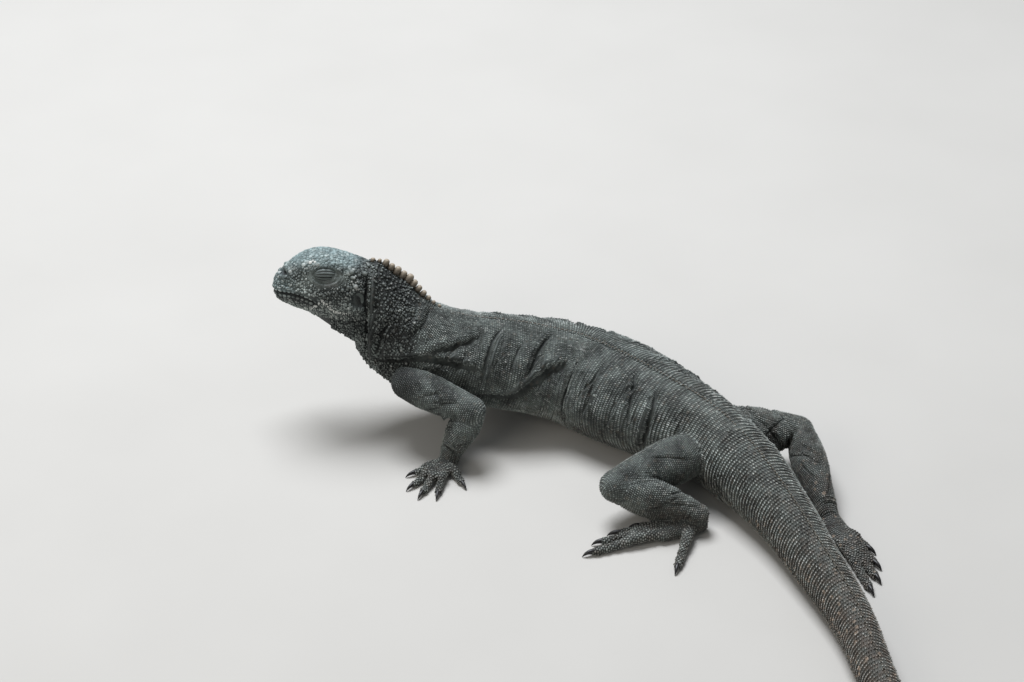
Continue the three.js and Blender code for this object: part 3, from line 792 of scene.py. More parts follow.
LARGE_FOLDS = (
    Fold(((2.6, 74), (2.75, 60), (2.94, 30), (3.2, 3), (3.9, 337), (4.97, 314), (5.5, 296)), 1.5, 2.5, 2.0),
    Fold(((4.9, 12), (5.1, -6), (5.5, -25), (5.9, -42)), 1.7, 1.9, 0.8),
    Fold(((6.3, 80), (6.44, 46), (6.35, 27), (6.22, 9)), 1.6, 1.2, 0.9, (-1, 0, 0)),
    Fold(((5.3, -64), (5.9, -40), (6.52, -20), (7.1, -2), (7.81, 10), (8.6, 12)), 1.9, 3.4, 1.4, (0, 0, 1)),
    Fold(((6.6, -38), (7.1, -21), (7.5, -7), (7.85, -10)), 1.3, 1.8, 1.0, (0, 0, 1)),
    Fold(((6.9, -4), (7.48, 25), (8.0, 45), (8.4, 62)), 2.0, 1.9, 1.1, (0.3, 0, 1)),
    Fold(((8.9, 80), (8.6, 50), (8.48, 15), (8.44, -20)), 1.3, 1.8, 1.1),
    Fold(((9.5, 78), (9.2, 50), (9.0, 22)), 1.6, 0.7, 0.6),
    Fold(((10.15, 84), (9.8, 62), (9.6, 46), (9.45, 24), (9.2, 4)), 1.5, 1.6, 1.0, (-1, 0, 0)),
    Fold(((8.3, -26), (9.16, -17), (9.55, 6), (10.14, 34), (10.93, 54)), 2.5, 3.1, 1.7, (-0.5, 0, 1)),
    Fold(((10.7, 78), (10.5, 50), (10.3, 22), (10.2, -8)), 1.6, 0.8, 0.6),
    Fold(((11.2, 72), (11.1, 42), (11.0, 10), (10.9, -15)), 1.5, 0.8, 0.5),
    Fold(((11.78, 75), (11.82, 52), (11.9, 22), (11.8, -8)), 1.2, 1.4, 0.8),
    Fold(((12.35, 78), (12.55, 61), (12.72, 34), (12.8, 4)), 1.4, 1.8, 1.0, (-1, 0, 0)),
    Fold(((12.9, 74), (13.13, 40), (13.15, -4), (12.95, -26)), 1.6, 2.5, 1.2, (-1, 0, 0)),
    Fold(((13.6, 66), (13.75, 34), (13.7, 4)), 1.3, 0.8, 0.4, (-1, 0, 0)),
    Fold(((7.2, 86.8), (10, 86.8), (12.5, 86.8), (15, 86.8)), 0.6, 1.1, 0.0),
)


@dataclass(frozen=True)
class Wrinkles:
    """Small random creases over a stretch of the spine.

    Attributes:
        stations, degrees: The ranges that they start in.
        count: How many on each side.
        span: Degrees that one runs down the side.
        width, depth: Their half width and depth.
    """

    stations: tuple[float, float]
    degrees: tuple[float, float]
    count: int
    span: float = 26
    width: float = 0.6
    depth: float = 0.4

    def folds(self, rng: np.random.Generator) -> list[Fold]:
        """Scatters the creases over both sides.

        Args:
            rng: What draws their places and sizes.

        Returns:
            The creases.
        """
        made = []
        for _ in range(self.count):
            station, degrees = rng.uniform(*self.stations), rng.uniform(*self.degrees)
            span, drift = self.span * rng.uniform(0.5, 1.3), rng.normal(-0.22, 0.14)
            middle = (station + drift * 0.5 + rng.normal(0, 0.03), degrees - span / 2)
            path = ((station, degrees), middle, (station + drift, degrees - span))
            depth = self.depth * rng.uniform(0.4, 1)
            fold = Fold(path, self.width * rng.uniform(0.7, 1.2), depth, depth * 0.6)
            made.append(fold if rng.random() < 0.5 else fold.mirrored())
        return made


SMALL_WRINKLES = (
    Wrinkles((7.4, 13.2), (44, 72), 46, span=64, width=1.2, depth=0.8),
    Wrinkles((7.4, 13.4), (0, 55), 100, span=38, width=0.8, depth=0.65),
    Wrinkles((3.4, 6.3), (-30, 60), 50, span=44, width=0.8, depth=0.6),
    Wrinkles((13.6, 15.6), (-20, 60), 30, span=30, depth=0.4),
)


def line_distance(points: Array, path: Array) -> tuple[Array, Array]:
    """How near points lie to a line of straight stretches.

    Args:
        points: The points.
        path: The line's own points.

    Returns:
        For each point its distance and the nearest spot on the line.
    """
    best = np.full(len(points), np.inf)
    spots = np.zeros_like(points)
    for a, b in zip(path[:-1], path[1:]):
        step = b - a
        share = np.clip((points - a) @ step / max(step @ step, 1e-9), 0, 1)
        near = a + share[:, None] * step
        gap = np.linalg.norm(points - near, axis=1)
        closer = gap < best
        best[closer], spots[closer] = gap[closer], near[closer]
    return best, spots


class Relief:
    """The folds, pits and lips of the skin, as a height and as a darkness, mostly painted shade in creases,
    grooves and pits, at any point of it.
    """

    def __init__(self, spine: Spine, head: Head) -> None:
        """Lays the folds out on the spine.

        Args:
            spine: The neck, trunk and tail.
            head: The head.
        """
        self.head = head
        rng = np.random.default_rng(SEED)
        folds = [f for fold in LARGE_FOLDS for f in (fold, fold.mirrored())]
        for wrinkles in SMALL_WRINKLES:
            folds += wrinkles.folds(rng)
        self.lines = []
        for fold in folds:
            path = np.array(fold.path, float)
            path[:, 1] = np.unwrap(path[:, 1], period=360)
            smooth = SmoothPath(tuple(map(tuple, path * (20, 1))), tension=0.5)
            smooth = smooth.at(np.linspace(0, 1, 5 * len(path)))
            self.lines.append((spine.skin_point(smooth[:, 0] / 20, smooth[:, 1], -COAT_DEPTH), fold))
        for leg in LEGS:
            self.lines += self.crooks(leg) + self.slack(leg, rng)

    @staticmethod
    def crooks(leg: Leg) -> list[tuple[Array, Fold]]:
        """The creases round the crook of a leg's elbow or knee, and over the front of its ankle.

        Args:
            leg: The leg.

        Returns:
            The lines and folds.
        """
        root, bend, ankle = (np.array(joint, float) for joint in leg.joints)
        up, down = unit(root - bend), unit(ankle - bend)
        foot = unit(np.array([*leg.heading, 0.2]))
        angles = np.radians(np.linspace(-80, 80, 9))[:, None]
        lines = []
        for middle, above, below in ((bend, up, down), (ankle, -down, foot)):
            crook, aside = unit(above + below), unit(np.cross(above, below))
            radius = float((leg.plan.upper if middle is bend else leg.plan.lower)[0].at(1.0))
            arc = middle + radius * (np.cos(angles) * crook + np.sin(angles) * aside)
            for shift, share in ((0.0, 1.0), (0.4 * above, 0.5), (0.4 * below, 0.5), (0.8 * below, 0.35)):
                deep = share * (2.2 if middle is bend else 1.3)
                lines.append((arc + radius * shift, Fold((), 0.14 * radius, deep, 0.5 * deep, tuple(above))))
        return lines

    @staticmethod
    def slack(leg: Leg, rng: np.random.Generator) -> list[tuple[Array, Fold]]:
        """Shallow wrinkles that run slantwise along the two long parts of a leg.

        Args:
            leg: The leg.
            rng: What draws their places and sizes.

        Returns:
            The lines and folds.
        """
        root, bend, ankle = (np.array(joint, float) for joint in leg.joints)
        way = np.linspace(-1, 1, 7)
        lines = []
        for start, end, parts, count in ((root, bend, leg.plan.upper, 12), (bend, ankle, leg.plan.lower, 10)):
            along = unit(end - start)
            aside = unit(np.cross(along, (0, 0, 1)))
            above = np.cross(aside, along)
            for _ in range(count):
                share = rng.uniform(0.25, 0.8) + rng.uniform(0.1, 0.2) * way
                angle = rng.uniform(-110, 110) + rng.uniform(15, 50) * rng.choice((-1, 1)) * way
                angle = np.radians(angle)[:, None]
                outward = np.cos(angle) * above + np.sin(angle) * aside
                path = start + share[:, None] * (end - start) + parts[0].at(share)[:, None] * outward
                depth = rng.uniform(0.45, 0.95)
                lines.append((path, Fold((), rng.uniform(0.6, 0.9), depth, 0.5 * depth, tuple(above))))
        return lines

    def fit(self, tree: BVHTree) -> None:
        """Moves the folds' lines onto a surface."""
        for number, (line, fold) in enumerate(self.lines):
            spots = [tree.find_nearest(point)[0] for point in line.tolist()]
            self.lines[number] = (np.array([tuple(s) for s in spots]), fold)

    def of_folds(self, points: Array) -> tuple[Array, Array]:
        """What the folds give at points of the skin.

        Args:
            points: The points, in millimetres.

        Returns:
            Height in millimetres, and darkness from 0 to 1 that paints shade into the creases.
        """
        out, dark = np.zeros(len(points)), np.zeros(len(points))
        for line, fold in self.lines:
            reach = fold.width * 3.4
            near = np.nonzero(((points > line.min(0) - reach) & (points < line.max(0) + reach)).all(1))[0]
            if not len(near):
                continue
            gap, spots = line_distance(points[near], line)
            chord = line[-1] - line[0]
            place = np.abs((spots - line[0]) @ unit(chord)) / max(np.linalg.norm(chord), 1e-6)
            taper = ramp(np.minimum(place, 1 - place), -0.02, 0.25)
            signed = (points[near] - spots) @ unit(np.array(fold.lip, float))
            lip = fold.rise * gauss(gap - 1.7 * fold.width, fold.width)
            lip = lip * ramp(signed, -0.5 * fold.width, fold.width)
            crease = gauss(gap, fold.width) * taper
            out[near] += lip * taper - fold.depth * crease
            # Painted shade in the crease, darker for deeper folds.
            dark[near] = np.maximum(dark[near], crease * min(0.85, fold.depth / 2.0))
        return out, dark

    def of_head(self, points: Array) -> tuple[Array, Array]:
        """What the mouth, the nostrils, the ears and the lids' surroundings give at points of the skin.

        Args:
            points: The points, in millimetres.

        Returns:
            Height in millimetres, and darkness from 0 to 1 that is mostly painted shade in grooves, pits and
            hollows.
        """
        head = self.head
        x, y, z = head.to_head(points).T
        from_mouth = z - head.mouth_at(x)
        mouth = ramp(x, 18.5, 21.5)
        groove = gauss(from_mouth, 0.8) * mouth
        lips = 0.6 * gauss(from_mouth - 1.8, 1.0) + 0.35 * gauss(from_mouth + 1.7, 0.9)
        # Painted shadow under the lower lip.
        under_lip = 0.85 * gauss(from_mouth + 2.4, 1.9) * mouth
        out = lips * mouth - 1.5 * groove
        corner, _ = line_distance(np.stack([x, z], 1), np.array([(20.5, -3), (16.5, -6), (13, -8.6)]))
        out -= 0.5 * gauss(corner, 0.9)
        on_side = ramp(np.abs(y), 6, 8)
        ring, below = head.round_eye(points)
        socket = gauss(ring - 1.04, 0.11) * on_side
        out += on_side * 0.5 * gauss(ring - 1.24, 0.12) - 0.6 * socket
        arcs = np.cos((ring - 1.24) / 0.24 * 2 * math.pi) * gauss(ring - 1.55, 0.3) * below * on_side
        out += 0.5 * arcs
        nx, ny, nz = head.nostril
        pit, aside = np.hypot((x - nx) / 1.25, z - nz), ramp(np.abs(y), ny - 4.2, ny - 2.8)
        hole = gauss(pit, 1.35) * aside
        # A darker patch behind and below the nostril.
        nostril_patch = 0.6 * gauss(np.hypot((x - nx + 4) / 5.5, (z - nz + 0.6) / 3), 1) * aside
        out += 0.6 * gauss(pit - 2.2, 0.7) * aside - 2.2 * hole
        ear = np.hypot((x - head.ear[0]) / (head.drum[0] + 0.4), (z - head.ear[1]) / (head.drum[2] + 0.4))
        rim = ramp(np.abs(y), 9, 11)
        out += rim * (0.35 * gauss(ear - 1.3, 0.18) - 0.9 * ramp(-ear, -1.12, -0.8))
        # Painted shadow of the brow above the lid.
        brow = 0.6 * gauss(ring - 1.4, 0.34) * on_side * (1 - 0.6 * below)
        shade = gauss(np.hypot((x - nx + 1) / 1.3, z - nz + 0.9), 1.9) * aside
        # The darkness: painted shade in the mouth groove, under the lower lip, round the lid, in the nostril,
        # round the ear, in the mouth corner's crease and in the grooves under the eye, painted shadow of the
        # brow, and the darker patch behind the nostril.
        shadows = [groove, under_lip, 0.3 * socket, shade, nostril_patch, 0.45 * rim * gauss(ear - 0.9, 0.3)]
        dark = np.maximum.reduce([*shadows, brow, 0.3 * gauss(corner, 0.7), -0.5 * arcs])
        inside = (x > -6) & (x < 44)
        return np.where(inside, out, 0), np.where(inside, dark, 0)

    def at(self, points: Array) -> tuple[Array, Array]:
        """Height in millimetres, and darkness from 0 to 1 that is mostly painted shade, at points of the skin."""
        (out, dark), (head_out, head_dark) = self.of_folds(points), self.of_head(points)
        return out + head_out, np.clip(np.maximum(dark, head_dark), 0, 1)


@dataclass(frozen=True)
class Markings:
    """Where the hide is bluish, brown, spotted or salted. Skin and scales share it."""

    head: Head

    def wash(self, points: Array) -> Array:
        """The washes of colour.

        Args:
            points: Points of the hide, in millimetres.

        Returns:
            For each how bluish, how brown and how spotted it is, from 0 to 1.
        """
        x, _, z = self.head.to_head(points).T
        on_head = ramp(x, -8, -1)
        muzzle = ramp(x, 27, 38) * ramp(z, -2, 3) * 0.6
        blue = on_head * np.maximum(ramp(z, 12.5, 18.5), muzzle)
        px, py, pz = points.T
        tail = ramp(-py, 60, 190)
        low = ramp(-pz, -26, -8)
        brown = np.clip(0.12 + 0.55 * tail + 0.3 * low + 0.25 * ramp(px, -20, 60), 0, 1) * (1 - on_head)
        spotted = np.clip(0.1 + 0.75 * ramp(px - 0.4 * pz, 10, 50) * low + 0.3 * tail, 0, 1) * (1 - on_head)
        return np.stack([blue, brown, spotted], 1)

    def gloom(self, points: Array) -> Array:
        """How much darker the hide is on the neck and lower cheek, low down near the floor, and under the jaw and
        throat, where it is painted shade.

        Args:
            points: Points of the hide, in millimetres.

        Returns:
            For each how much darker it is, from 0 to 1.
        """
        x, _, z = self.head.to_head(points).T
        neck = ramp(-x, -3, 1) * ramp(x, -34, -24) * (1 - 0.6 * gauss(x + 6.8, 1.8))
        cheek = 0.6 * ramp(x, -3, 4) * ramp(-z, -13, -9) * ramp(-x, -27, -20)
        foot = 0.45 * ramp(-points[:, 2], -15, -8)
        # The last term is painted shade under the jaw and throat.
        return 0.76 * np.maximum.reduce([neck, cheek, foot, ramp(-z, 7, 12) * ramp(x, -20, 0)])

    def crusts(self, points: Array) -> Array:
        """How near points lie to the pale crusts behind the mouth, along the jaw and above the eye."""
        x, _, z = self.head.to_head(points).T
        near = [line_distance(np.stack([x, z], 1), np.array(line))[0] for line in self.head.crusts]
        return gauss(np.min(near, axis=0), 0.75)

    def salt(self, points: Array) -> Array:
        """For each point how much of dried salt lies on it, 1 being a lot and more a crust."""
        px, _, pz = points.T
        fore = ramp(-px, 98, 128) * ramp(pz, 16, 32)
        return 0.9 * ramp(pz, 6, 22) + 0.1 * fore + 1.7 * self.crusts(points)


# The skin


def make_mesh(name: str, points: Array, faces: Array) -> bpy.types.Mesh:
    """A Blender mesh from points in millimetres and faces with one number of corners.

    Args:
        name: Its name.
        points: The points.
        faces: The corners of each face.

    Returns:
        The mesh, in metres, with smooth shading.
    """
    mesh = bpy.data.meshes.new(name)
    count, corners = faces.shape
    mesh.vertices.add(len(points))
    mesh.vertices.foreach_set("co", (np.asarray(points) * MM).astype(np.float32).ravel())
    mesh.loops.add(count * corners)
    mesh.loops.foreach_set("vertex_index", faces.astype(np.int32).ravel())
    mesh.polygons.add(count)
    mesh.polygons.foreach_set("loop_start", np.arange(0, count * corners, corners, dtype=np.int32))
    mesh.update(calc_edges=True)
    mesh.shade_smooth()
    return mesh


def add_object(name: str, mesh: bpy.types.Mesh) -> bpy.types.Object:
    """An object in the scene with that mesh, at the origin."""
    made = bpy.data.objects.new(name, mesh)
    bpy.context.scene.collection.objects.link(made)
    return made


def evaluated(obj: bpy.types.Object, name: str) -> bpy.types.Mesh:
    """The mesh of an object with its modifiers applied, which are then removed.

    Args:
        obj: The object.
        name: The new mesh's name.

    Returns:
        The mesh.
    """
    graph = bpy.context.evaluated_depsgraph_get()
    final = obj.evaluated_get(graph)
    mesh = bpy.data.meshes.new_from_object(final, preserve_all_data_layers=True, depsgraph=graph)
    mesh.name = name
    obj.modifiers.clear()
    return mesh


def read_points(mesh: bpy.types.Mesh) -> Array:
    """The points of a mesh, in millimetres."""
    flat = np.zeros(len(mesh.vertices) * 3, np.float32)
    mesh.vertices.foreach_get("co", flat)
    return flat.reshape(-1, 3).astype(float) / MM


def read_faces(mesh: bpy.types.Mesh, corners: int) -> Array:
    """The faces of a mesh whose faces all have that many corners."""
    flat = np.zeros(len(mesh.loops), np.int32)
    mesh.loops.foreach_get("vertex_index", flat)
    return flat.reshape(-1, corners)


def vertex_normals(points: Array, faces: Array) -> Array:
    """The unit normals at the points of a mesh of quads.

    Args:
        points, faces: The mesh.

    Returns:
        One normal for each point.
    """
    a, b, c, d = (points[faces[:, k]] for k in range(4))
    across = np.cross(c - a, d - b)
    total = np.zeros_like(points)
    for k in range(4):
        for axis in range(3):
            total[:, axis] += np.bincount(faces[:, k], across[:, axis], len(points))
    return unit(total)


def relax(points: Array, faces: Array, weight: Array | float, rounds: int) -> Array:
    """Moves each point towards the middle of its neighbours.

    Args:
        points, faces: A mesh of quads.
        weight: The share of the way moved in each round, for each point or for all.
        rounds: How many rounds.

    Returns:
        The moved points.
    """
    ends = np.concatenate([np.stack([faces[:, k], faces[:, (k + 1) % 4]], 1) for k in range(4)])
    ends = np.unique(np.sort(ends, 1), axis=0)
    count = np.bincount(ends.ravel(), minlength=len(points))[:, None]
    share = np.broadcast_to(np.asarray(weight, float), (len(points),))[:, None]
    moved = points.copy()
    for _ in range(rounds):
        total = np.zeros_like(moved)
        for axis in range(3):
            total[:, axis] = np.bincount(ends[:, 0], moved[ends[:, 1], axis], len(points))
            total[:, axis] += np.bincount(ends[:, 1], moved[ends[:, 0], axis], len(points))
        moved += share * (total / count - moved)
    return moved


@dataclass
class Island:
    """A stretch of a guide's rows and its place on the unwrap, in millimetres there."""

    guide: Guide
    first: int
    last: int
    place: tuple[float, float] = (0.0, 0.0)

    @property
    def size(self) -> tuple[float, float]:
        """Length and girth on the unwrap."""
        girth = self.guide.rounds[self.first : self.last + 1, -1].max()
        length = self.guide.lengths[self.last] - self.guide.lengths[self.first]
        return length * self.guide.zoom, girth * self.guide.zoom


class Unwrap:
    """The skin cut along its forms and laid flat in the unit square."""

    MARGIN = 2.5

    def __init__(self, guides: list[Guide]) -> None:
        """Cuts the forms into islands and packs these on shelves.

        Args:
            guides: The animal's forms.
        """
        self.islands: dict[str, list[Island]] = {}
        for guide in guides:
            cuts = [0, *guide.row_at(guide.cuts).round().astype(int).tolist(), len(guide.rings) - 1]
            self.islands[guide.name] = [Island(guide, a, b) for a, b in zip(cuts[:-1], cuts[1:])]
        everything = sorted((i for many in self.islands.values() for i in many), key=lambda i: -i.size[1])
        self.width = math.sqrt(sum(i.size[0] * i.size[1] for i in everything))
        while self.pack(everything) > self.width:
            self.width *= 1.02

    def pack(self, islands: list[Island]) -> float:
        """Sets the islands on shelves of the present width.

        Args:
            islands: The islands, the widest first.

        Returns:
            The height that they take.
        """
        x, y, shelf = self.MARGIN, self.MARGIN, 0.0
        for island in islands:
            long, high = island.size
            if x + long + self.MARGIN > self.width:
                x, y, shelf = self.MARGIN, y + shelf + self.MARGIN, 0.0
            island.place = (x, y)
            x, shelf = x + long + self.MARGIN, max(shelf, high)
        return y + shelf + self.MARGIN

    def at(self, guide: Guide, row: Array, column: Array, steer: Array | None = None) -> Array:
        """Places on the unwrap for rows and columns of a form.

        Args:
            guide: The form.
            row, column: Fractional rows and columns.
            steer: Rows that choose the island, if other than row, so that a face stays whole.

        Returns:
            Two coordinates from 0 to 1 for each.
        """
        row, column = np.asarray(row, float), np.asarray(column, float)
        steer = row if steer is None else steer
        result = np.zeros((len(row), 2))
        for island in self.islands[guide.name]:
            mine = (steer >= island.first) & (steer <= island.last)
            length = np.interp(row[mine], np.arange(len(guide.lengths)), guide.lengths)
            result[mine, 0] = island.place[0] + (length - guide.lengths[island.first]) * guide.zoom
            result[mine, 1] = island.place[1] + column[mine] / guide.rings.shape[1] * island.size[1]
        return result / self.width


class Skin:
    """The one skin of the whole animal."""

    def __init__(self, guides: list[Guide], relief: Relief, markings: Markings) -> None:
        """Keeps what the skin is made from.

        Args:
            guides: The animal's forms.
            relief: Its folds.
            markings: Its colours' places.
        """
        self.guides = guides
        self.relief = relief
        self.markings = markings
        self.unwrap = Unwrap(guides)
        self.tree: BVHTree | None = None

    def joined(self) -> tuple[Array, Array]:
        """Joins all forms.

        Returns:
            Points and quads of one closed surface.
        """
        rough = add_object("rough", make_mesh("rough", *stacked([guide.mesh() for guide in self.guides])))
        remesh = rough.modifiers.new("join", "REMESH")
        remesh.mode = "VOXEL"
        remesh.voxel_size = VOXEL * MM
        remesh.adaptivity = 0
        mesh = evaluated(rough, "joined")
        bpy.data.objects.remove(rough)
        verts, quads = read_points(mesh), read_faces(mesh, 4)
        bpy.data.meshes.remove(mesh)
        return verts, quads

    def fillets(self, points: Array) -> Array:
        """How much the seats of the forms are smoothed.

        Args:
            points: The surface's points.

        Returns:
            A share for each point, highest where two forms meet.
        """
        by_name = {g.name: g for g in self.guides}
        weight = np.zeros(len(points))
        for guide in self.guides:
            if not guide.parent:
                continue
            reach = guide.fillet * 2
            own, _, _ = guide.nearest(points, reach)
            near = np.nonzero(np.isfinite(own))[0]
            parent, _, _ = by_name[guide.parent].nearest(points[near], reach)
            gap = np.hypot(own[near], np.where(np.isfinite(parent), parent, 1e3))
            weight[near] = np.maximum(weight[near], gauss(gap, guide.fillet))
        return weight

    def build(self) -> bpy.types.Object:
        """Makes the skin with its folds, its unwrap and its marks.

        Returns:
            The skin.
        """
        points, quads = self.joined()
        log.info("skin joined: %d quads", len(quads))
        points = relax(points, quads, 0.5, 2)
        points = relax(points, quads, 0.6 * self.fillets(points), 26)
        self.relief.fit(BVHTree.FromPolygons(points.tolist(), quads.tolist()))
        out, _ = self.relief.at(points)
        points = points + vertex_normals(points, quads) * out[:, None]
        points = relax(points, quads, 0.25, 1)
        points[:, 2] = np.maximum(points[:, 2], 0.05)
        skin = add_object("skin", make_mesh("skin", points, quads))
        thin = skin.modifiers.new("thin", "DECIMATE")
        thin.ratio = min(1.0, SKIN_TRIANGLES / (2 * len(quads)))
        thin.use_collapse_triangulate = True
        old = skin.data
        skin.data = evaluated(skin, "skin")
        bpy.data.meshes.remove(old)
        skin.data.shade_smooth()
        points, triangles = read_points(skin.data), read_faces(skin.data, 3)
        self.tree = BVHTree.FromPolygons(points.tolist(), triangles.tolist())
        self.dress(skin.data, points, triangles)
        return skin

    def dress(self, mesh: bpy.types.Mesh, points: Array, triangles: Array) -> None:
        """Writes the unwrap and the marks onto the skin's mesh.

        Args:
            mesh: The mesh.
            points, triangles: Its points and faces.
        """
        gaps = np.full((len(self.guides), len(points)), 1e3)
        rows, columns = np.zeros_like(gaps), np.zeros_like(gaps)
        for i, guide in enumerate(self.guides):
            gap, rows[i], columns[i] = guide.nearest(points, 3.0)
            gaps[i] = np.where(np.isfinite(gap), gap, 1e3)
        chosen = gaps[:, triangles].sum(2).argmin(0)
        places = np.zeros((len(triangles), 3, 2))
        for i, guide in enumerate(self.guides):
            mine = np.nonzero(chosen == i)[0]
            if not len(mine):
                continue
            corners = triangles[mine]
            sides = guide.rings.shape[1]
            row, column = rows[i][corners], columns[i][corners] % sides
            wraps = (column.max(1) - column.min(1)) > sides / 2
            column = np.where(wraps[:, None] & (column < sides / 2), column + sides, column)
            steer = np.repeat(row.mean(1), 3)
            places[mine] = self.unwrap.at(guide, row.ravel(), column.ravel(), steer).reshape(-1, 3, 2)
        write_unwrap(mesh, places)
        # Bare skin counts as the roots of scales, so it gets their painted shade, except on the smooth ring round
        # each eye.
        ring, below = self.relief.head.round_eye(points)
        write_marks(mesh, {**self.marks(points), "rise": 0.55 * ramp(-ring, -1.9 - 0.3 * below, -1.5)})

    def marks(self, points: Array, chance: Array | float = 0.5) -> dict[str, Array]:
        """The marks at points of the hide.

        Args:
            points: The points, in millimetres.
            chance: What tells one scale's tone from another's, from 0 to 1.

        Returns:
            The wash of colours, and the salt, the darkness that is mostly painted shade, and the chance.
        """
        _, dark = self.relief.at(points)
        dark = np.maximum(dark, self.markings.gloom(points)) * (1 - 0.85 * self.markings.crusts(points))
        # Salt, the darkness that is mostly painted shade, and each scale's chance, as one mark.
        wear = np.stack([self.markings.salt(points), dark, np.broadcast_to(chance, dark.shape)], 1)
        return {"wash": self.markings.wash(points), "wear": wear}

    def settle(self, points: Array, reach: float) -> tuple[Array, Array, Array]:
        """The nearest spots on the skin.

        Args:
            points: Points near the skin.
            reach: The furthest distance that counts.

        Returns:
            Which points found a spot, the spots and the skin's normals there.
        """
        kept, spots, normals = [], [], []
        for i, point in enumerate(points.tolist()):
            spot, normal, _, _ = self.tree.find_nearest(point, reach)
            if spot is not None:
                kept.append(i)
                spots.append(tuple(spot))
                normals.append(tuple(normal))
        return np.array(kept, int), np.array(spots), np.array(normals)


def stacked(meshes: list[tuple[Array, Array]]) -> tuple[Array, Array]:
    """Points and faces of several meshes as one."""
    starts = np.cumsum([0, *(len(points) for points, _ in meshes)])
    faces = [faces + start for (_, faces), start in zip(meshes, starts)]
    return np.concatenate([points for points, _ in meshes]), np.concatenate(faces)


def write_unwrap(mesh: bpy.types.Mesh, places: Array) -> None:
    """Writes places on the unwrap, one for each corner of a mesh's faces."""
    mesh.uv_layers.new(name="OFBake").data.foreach_set("uv", places.astype(np.float32).ravel())


def write_marks(mesh: bpy.types.Mesh, marks: dict[str, Array]) -> None:
    """Writes marks onto a mesh's points.

    Args:
        mesh: The mesh.
        marks: A vector or a number for each point, by name.
    """
    for name, values in marks.items():
        kind, field_name = ("FLOAT_VECTOR", "vector") if values.ndim == 2 else ("FLOAT", "value")
        layer = mesh.attributes.new(name, kind, "POINT")
        layer.data.foreach_set(field_name, values.astype(np.float32).ravel())
# Scales and other small forms, made with geometry nodes


def add_node(
    tree: bpy.types.NodeTree, kind: str, inputs: dict | tuple = (), output: int | str = 0, **settings: object
) -> bpy.types.NodeSocket | None:
    """Adds a node with its settings and what goes into it.

    Args:
        tree: The tree that gets the node.
        kind: Blender's name for the node.
        inputs: Values, or the sockets that feed it, by socket or in the sockets' order.
        output: The output that is wanted.
        settings: Values of the node's own properties.

    Returns:
        That output, if the node has any.
    """
    node = tree.nodes.new(kind)
    for name, value in settings.items():
        setattr(node, name, value)
    for key, value in inputs.items() if isinstance(inputs, dict) else enumerate(inputs):
        if isinstance(value, bpy.types.NodeSocket):
            tree.links.new(value, node.inputs[key])
        else:
            node.inputs[key].default_value = value
    return node.outputs[output] if node.outputs else None


@dataclass(frozen=True)
class ScaleForm:
    """One kind of scale, in millimetres.

    Attributes:
        length, width, height: Its size along the lie, across it and off the skin.
        pitch: Distance between the rows.
        across: Distance between neighbours in a row.
        lean: How far its top lies behind its root, as a share of its length.
        crown: Width of its top as a share of its foot.
        bulge: How far its waist swells, as a share of its width.
        dome: How rounded its top is, from 0 for a point or a flat to 1.
        sides, steps: Faces round it and up it.
        sunk: How deep its root stands in the skin.
        tilt: How far its rear edge lifts, in degrees.
        jitter: How far it strays from its place, as a share of the pitch.
        vary: How much the sizes differ.
        dim: How rare pale ones are; 1 is an even spread from dark to pale.
    """

    length: float
    width: float
    height: float
    pitch: float = 1.0
    across: float = 1.0
    lean: float = 0.25
    crown: float = 0.3
    bulge: float = 0.0
    dome: float = 0.8
    sides: int = 5
    steps: int = 1
    sunk: float = 0.12
    tilt: float = 0.0
    jitter: float = 0.08
    vary: float = 0.12
    dim: float = 1.0


@dataclass
class Layout:
    """Roots of scales on the skin: places, directions, sizes, places on the unwrap and marks."""

    spots: Array
    facing: Array
    along: Array
    size: Array
    root: Array
    marks: dict[str, Array]

    @staticmethod
    def together(layouts: list["Layout"]) -> "Layout":
        """Several layouts as one."""
        names = ("spots", "facing", "along", "size", "root")
        parts = ([getattr(one, name) for one in layouts] for name in names)
        marks = {name: np.concatenate([one.marks[name] for one in layouts]) for name in layouts[0].marks}
        return Layout(*(np.concatenate(part) for part in parts), marks)


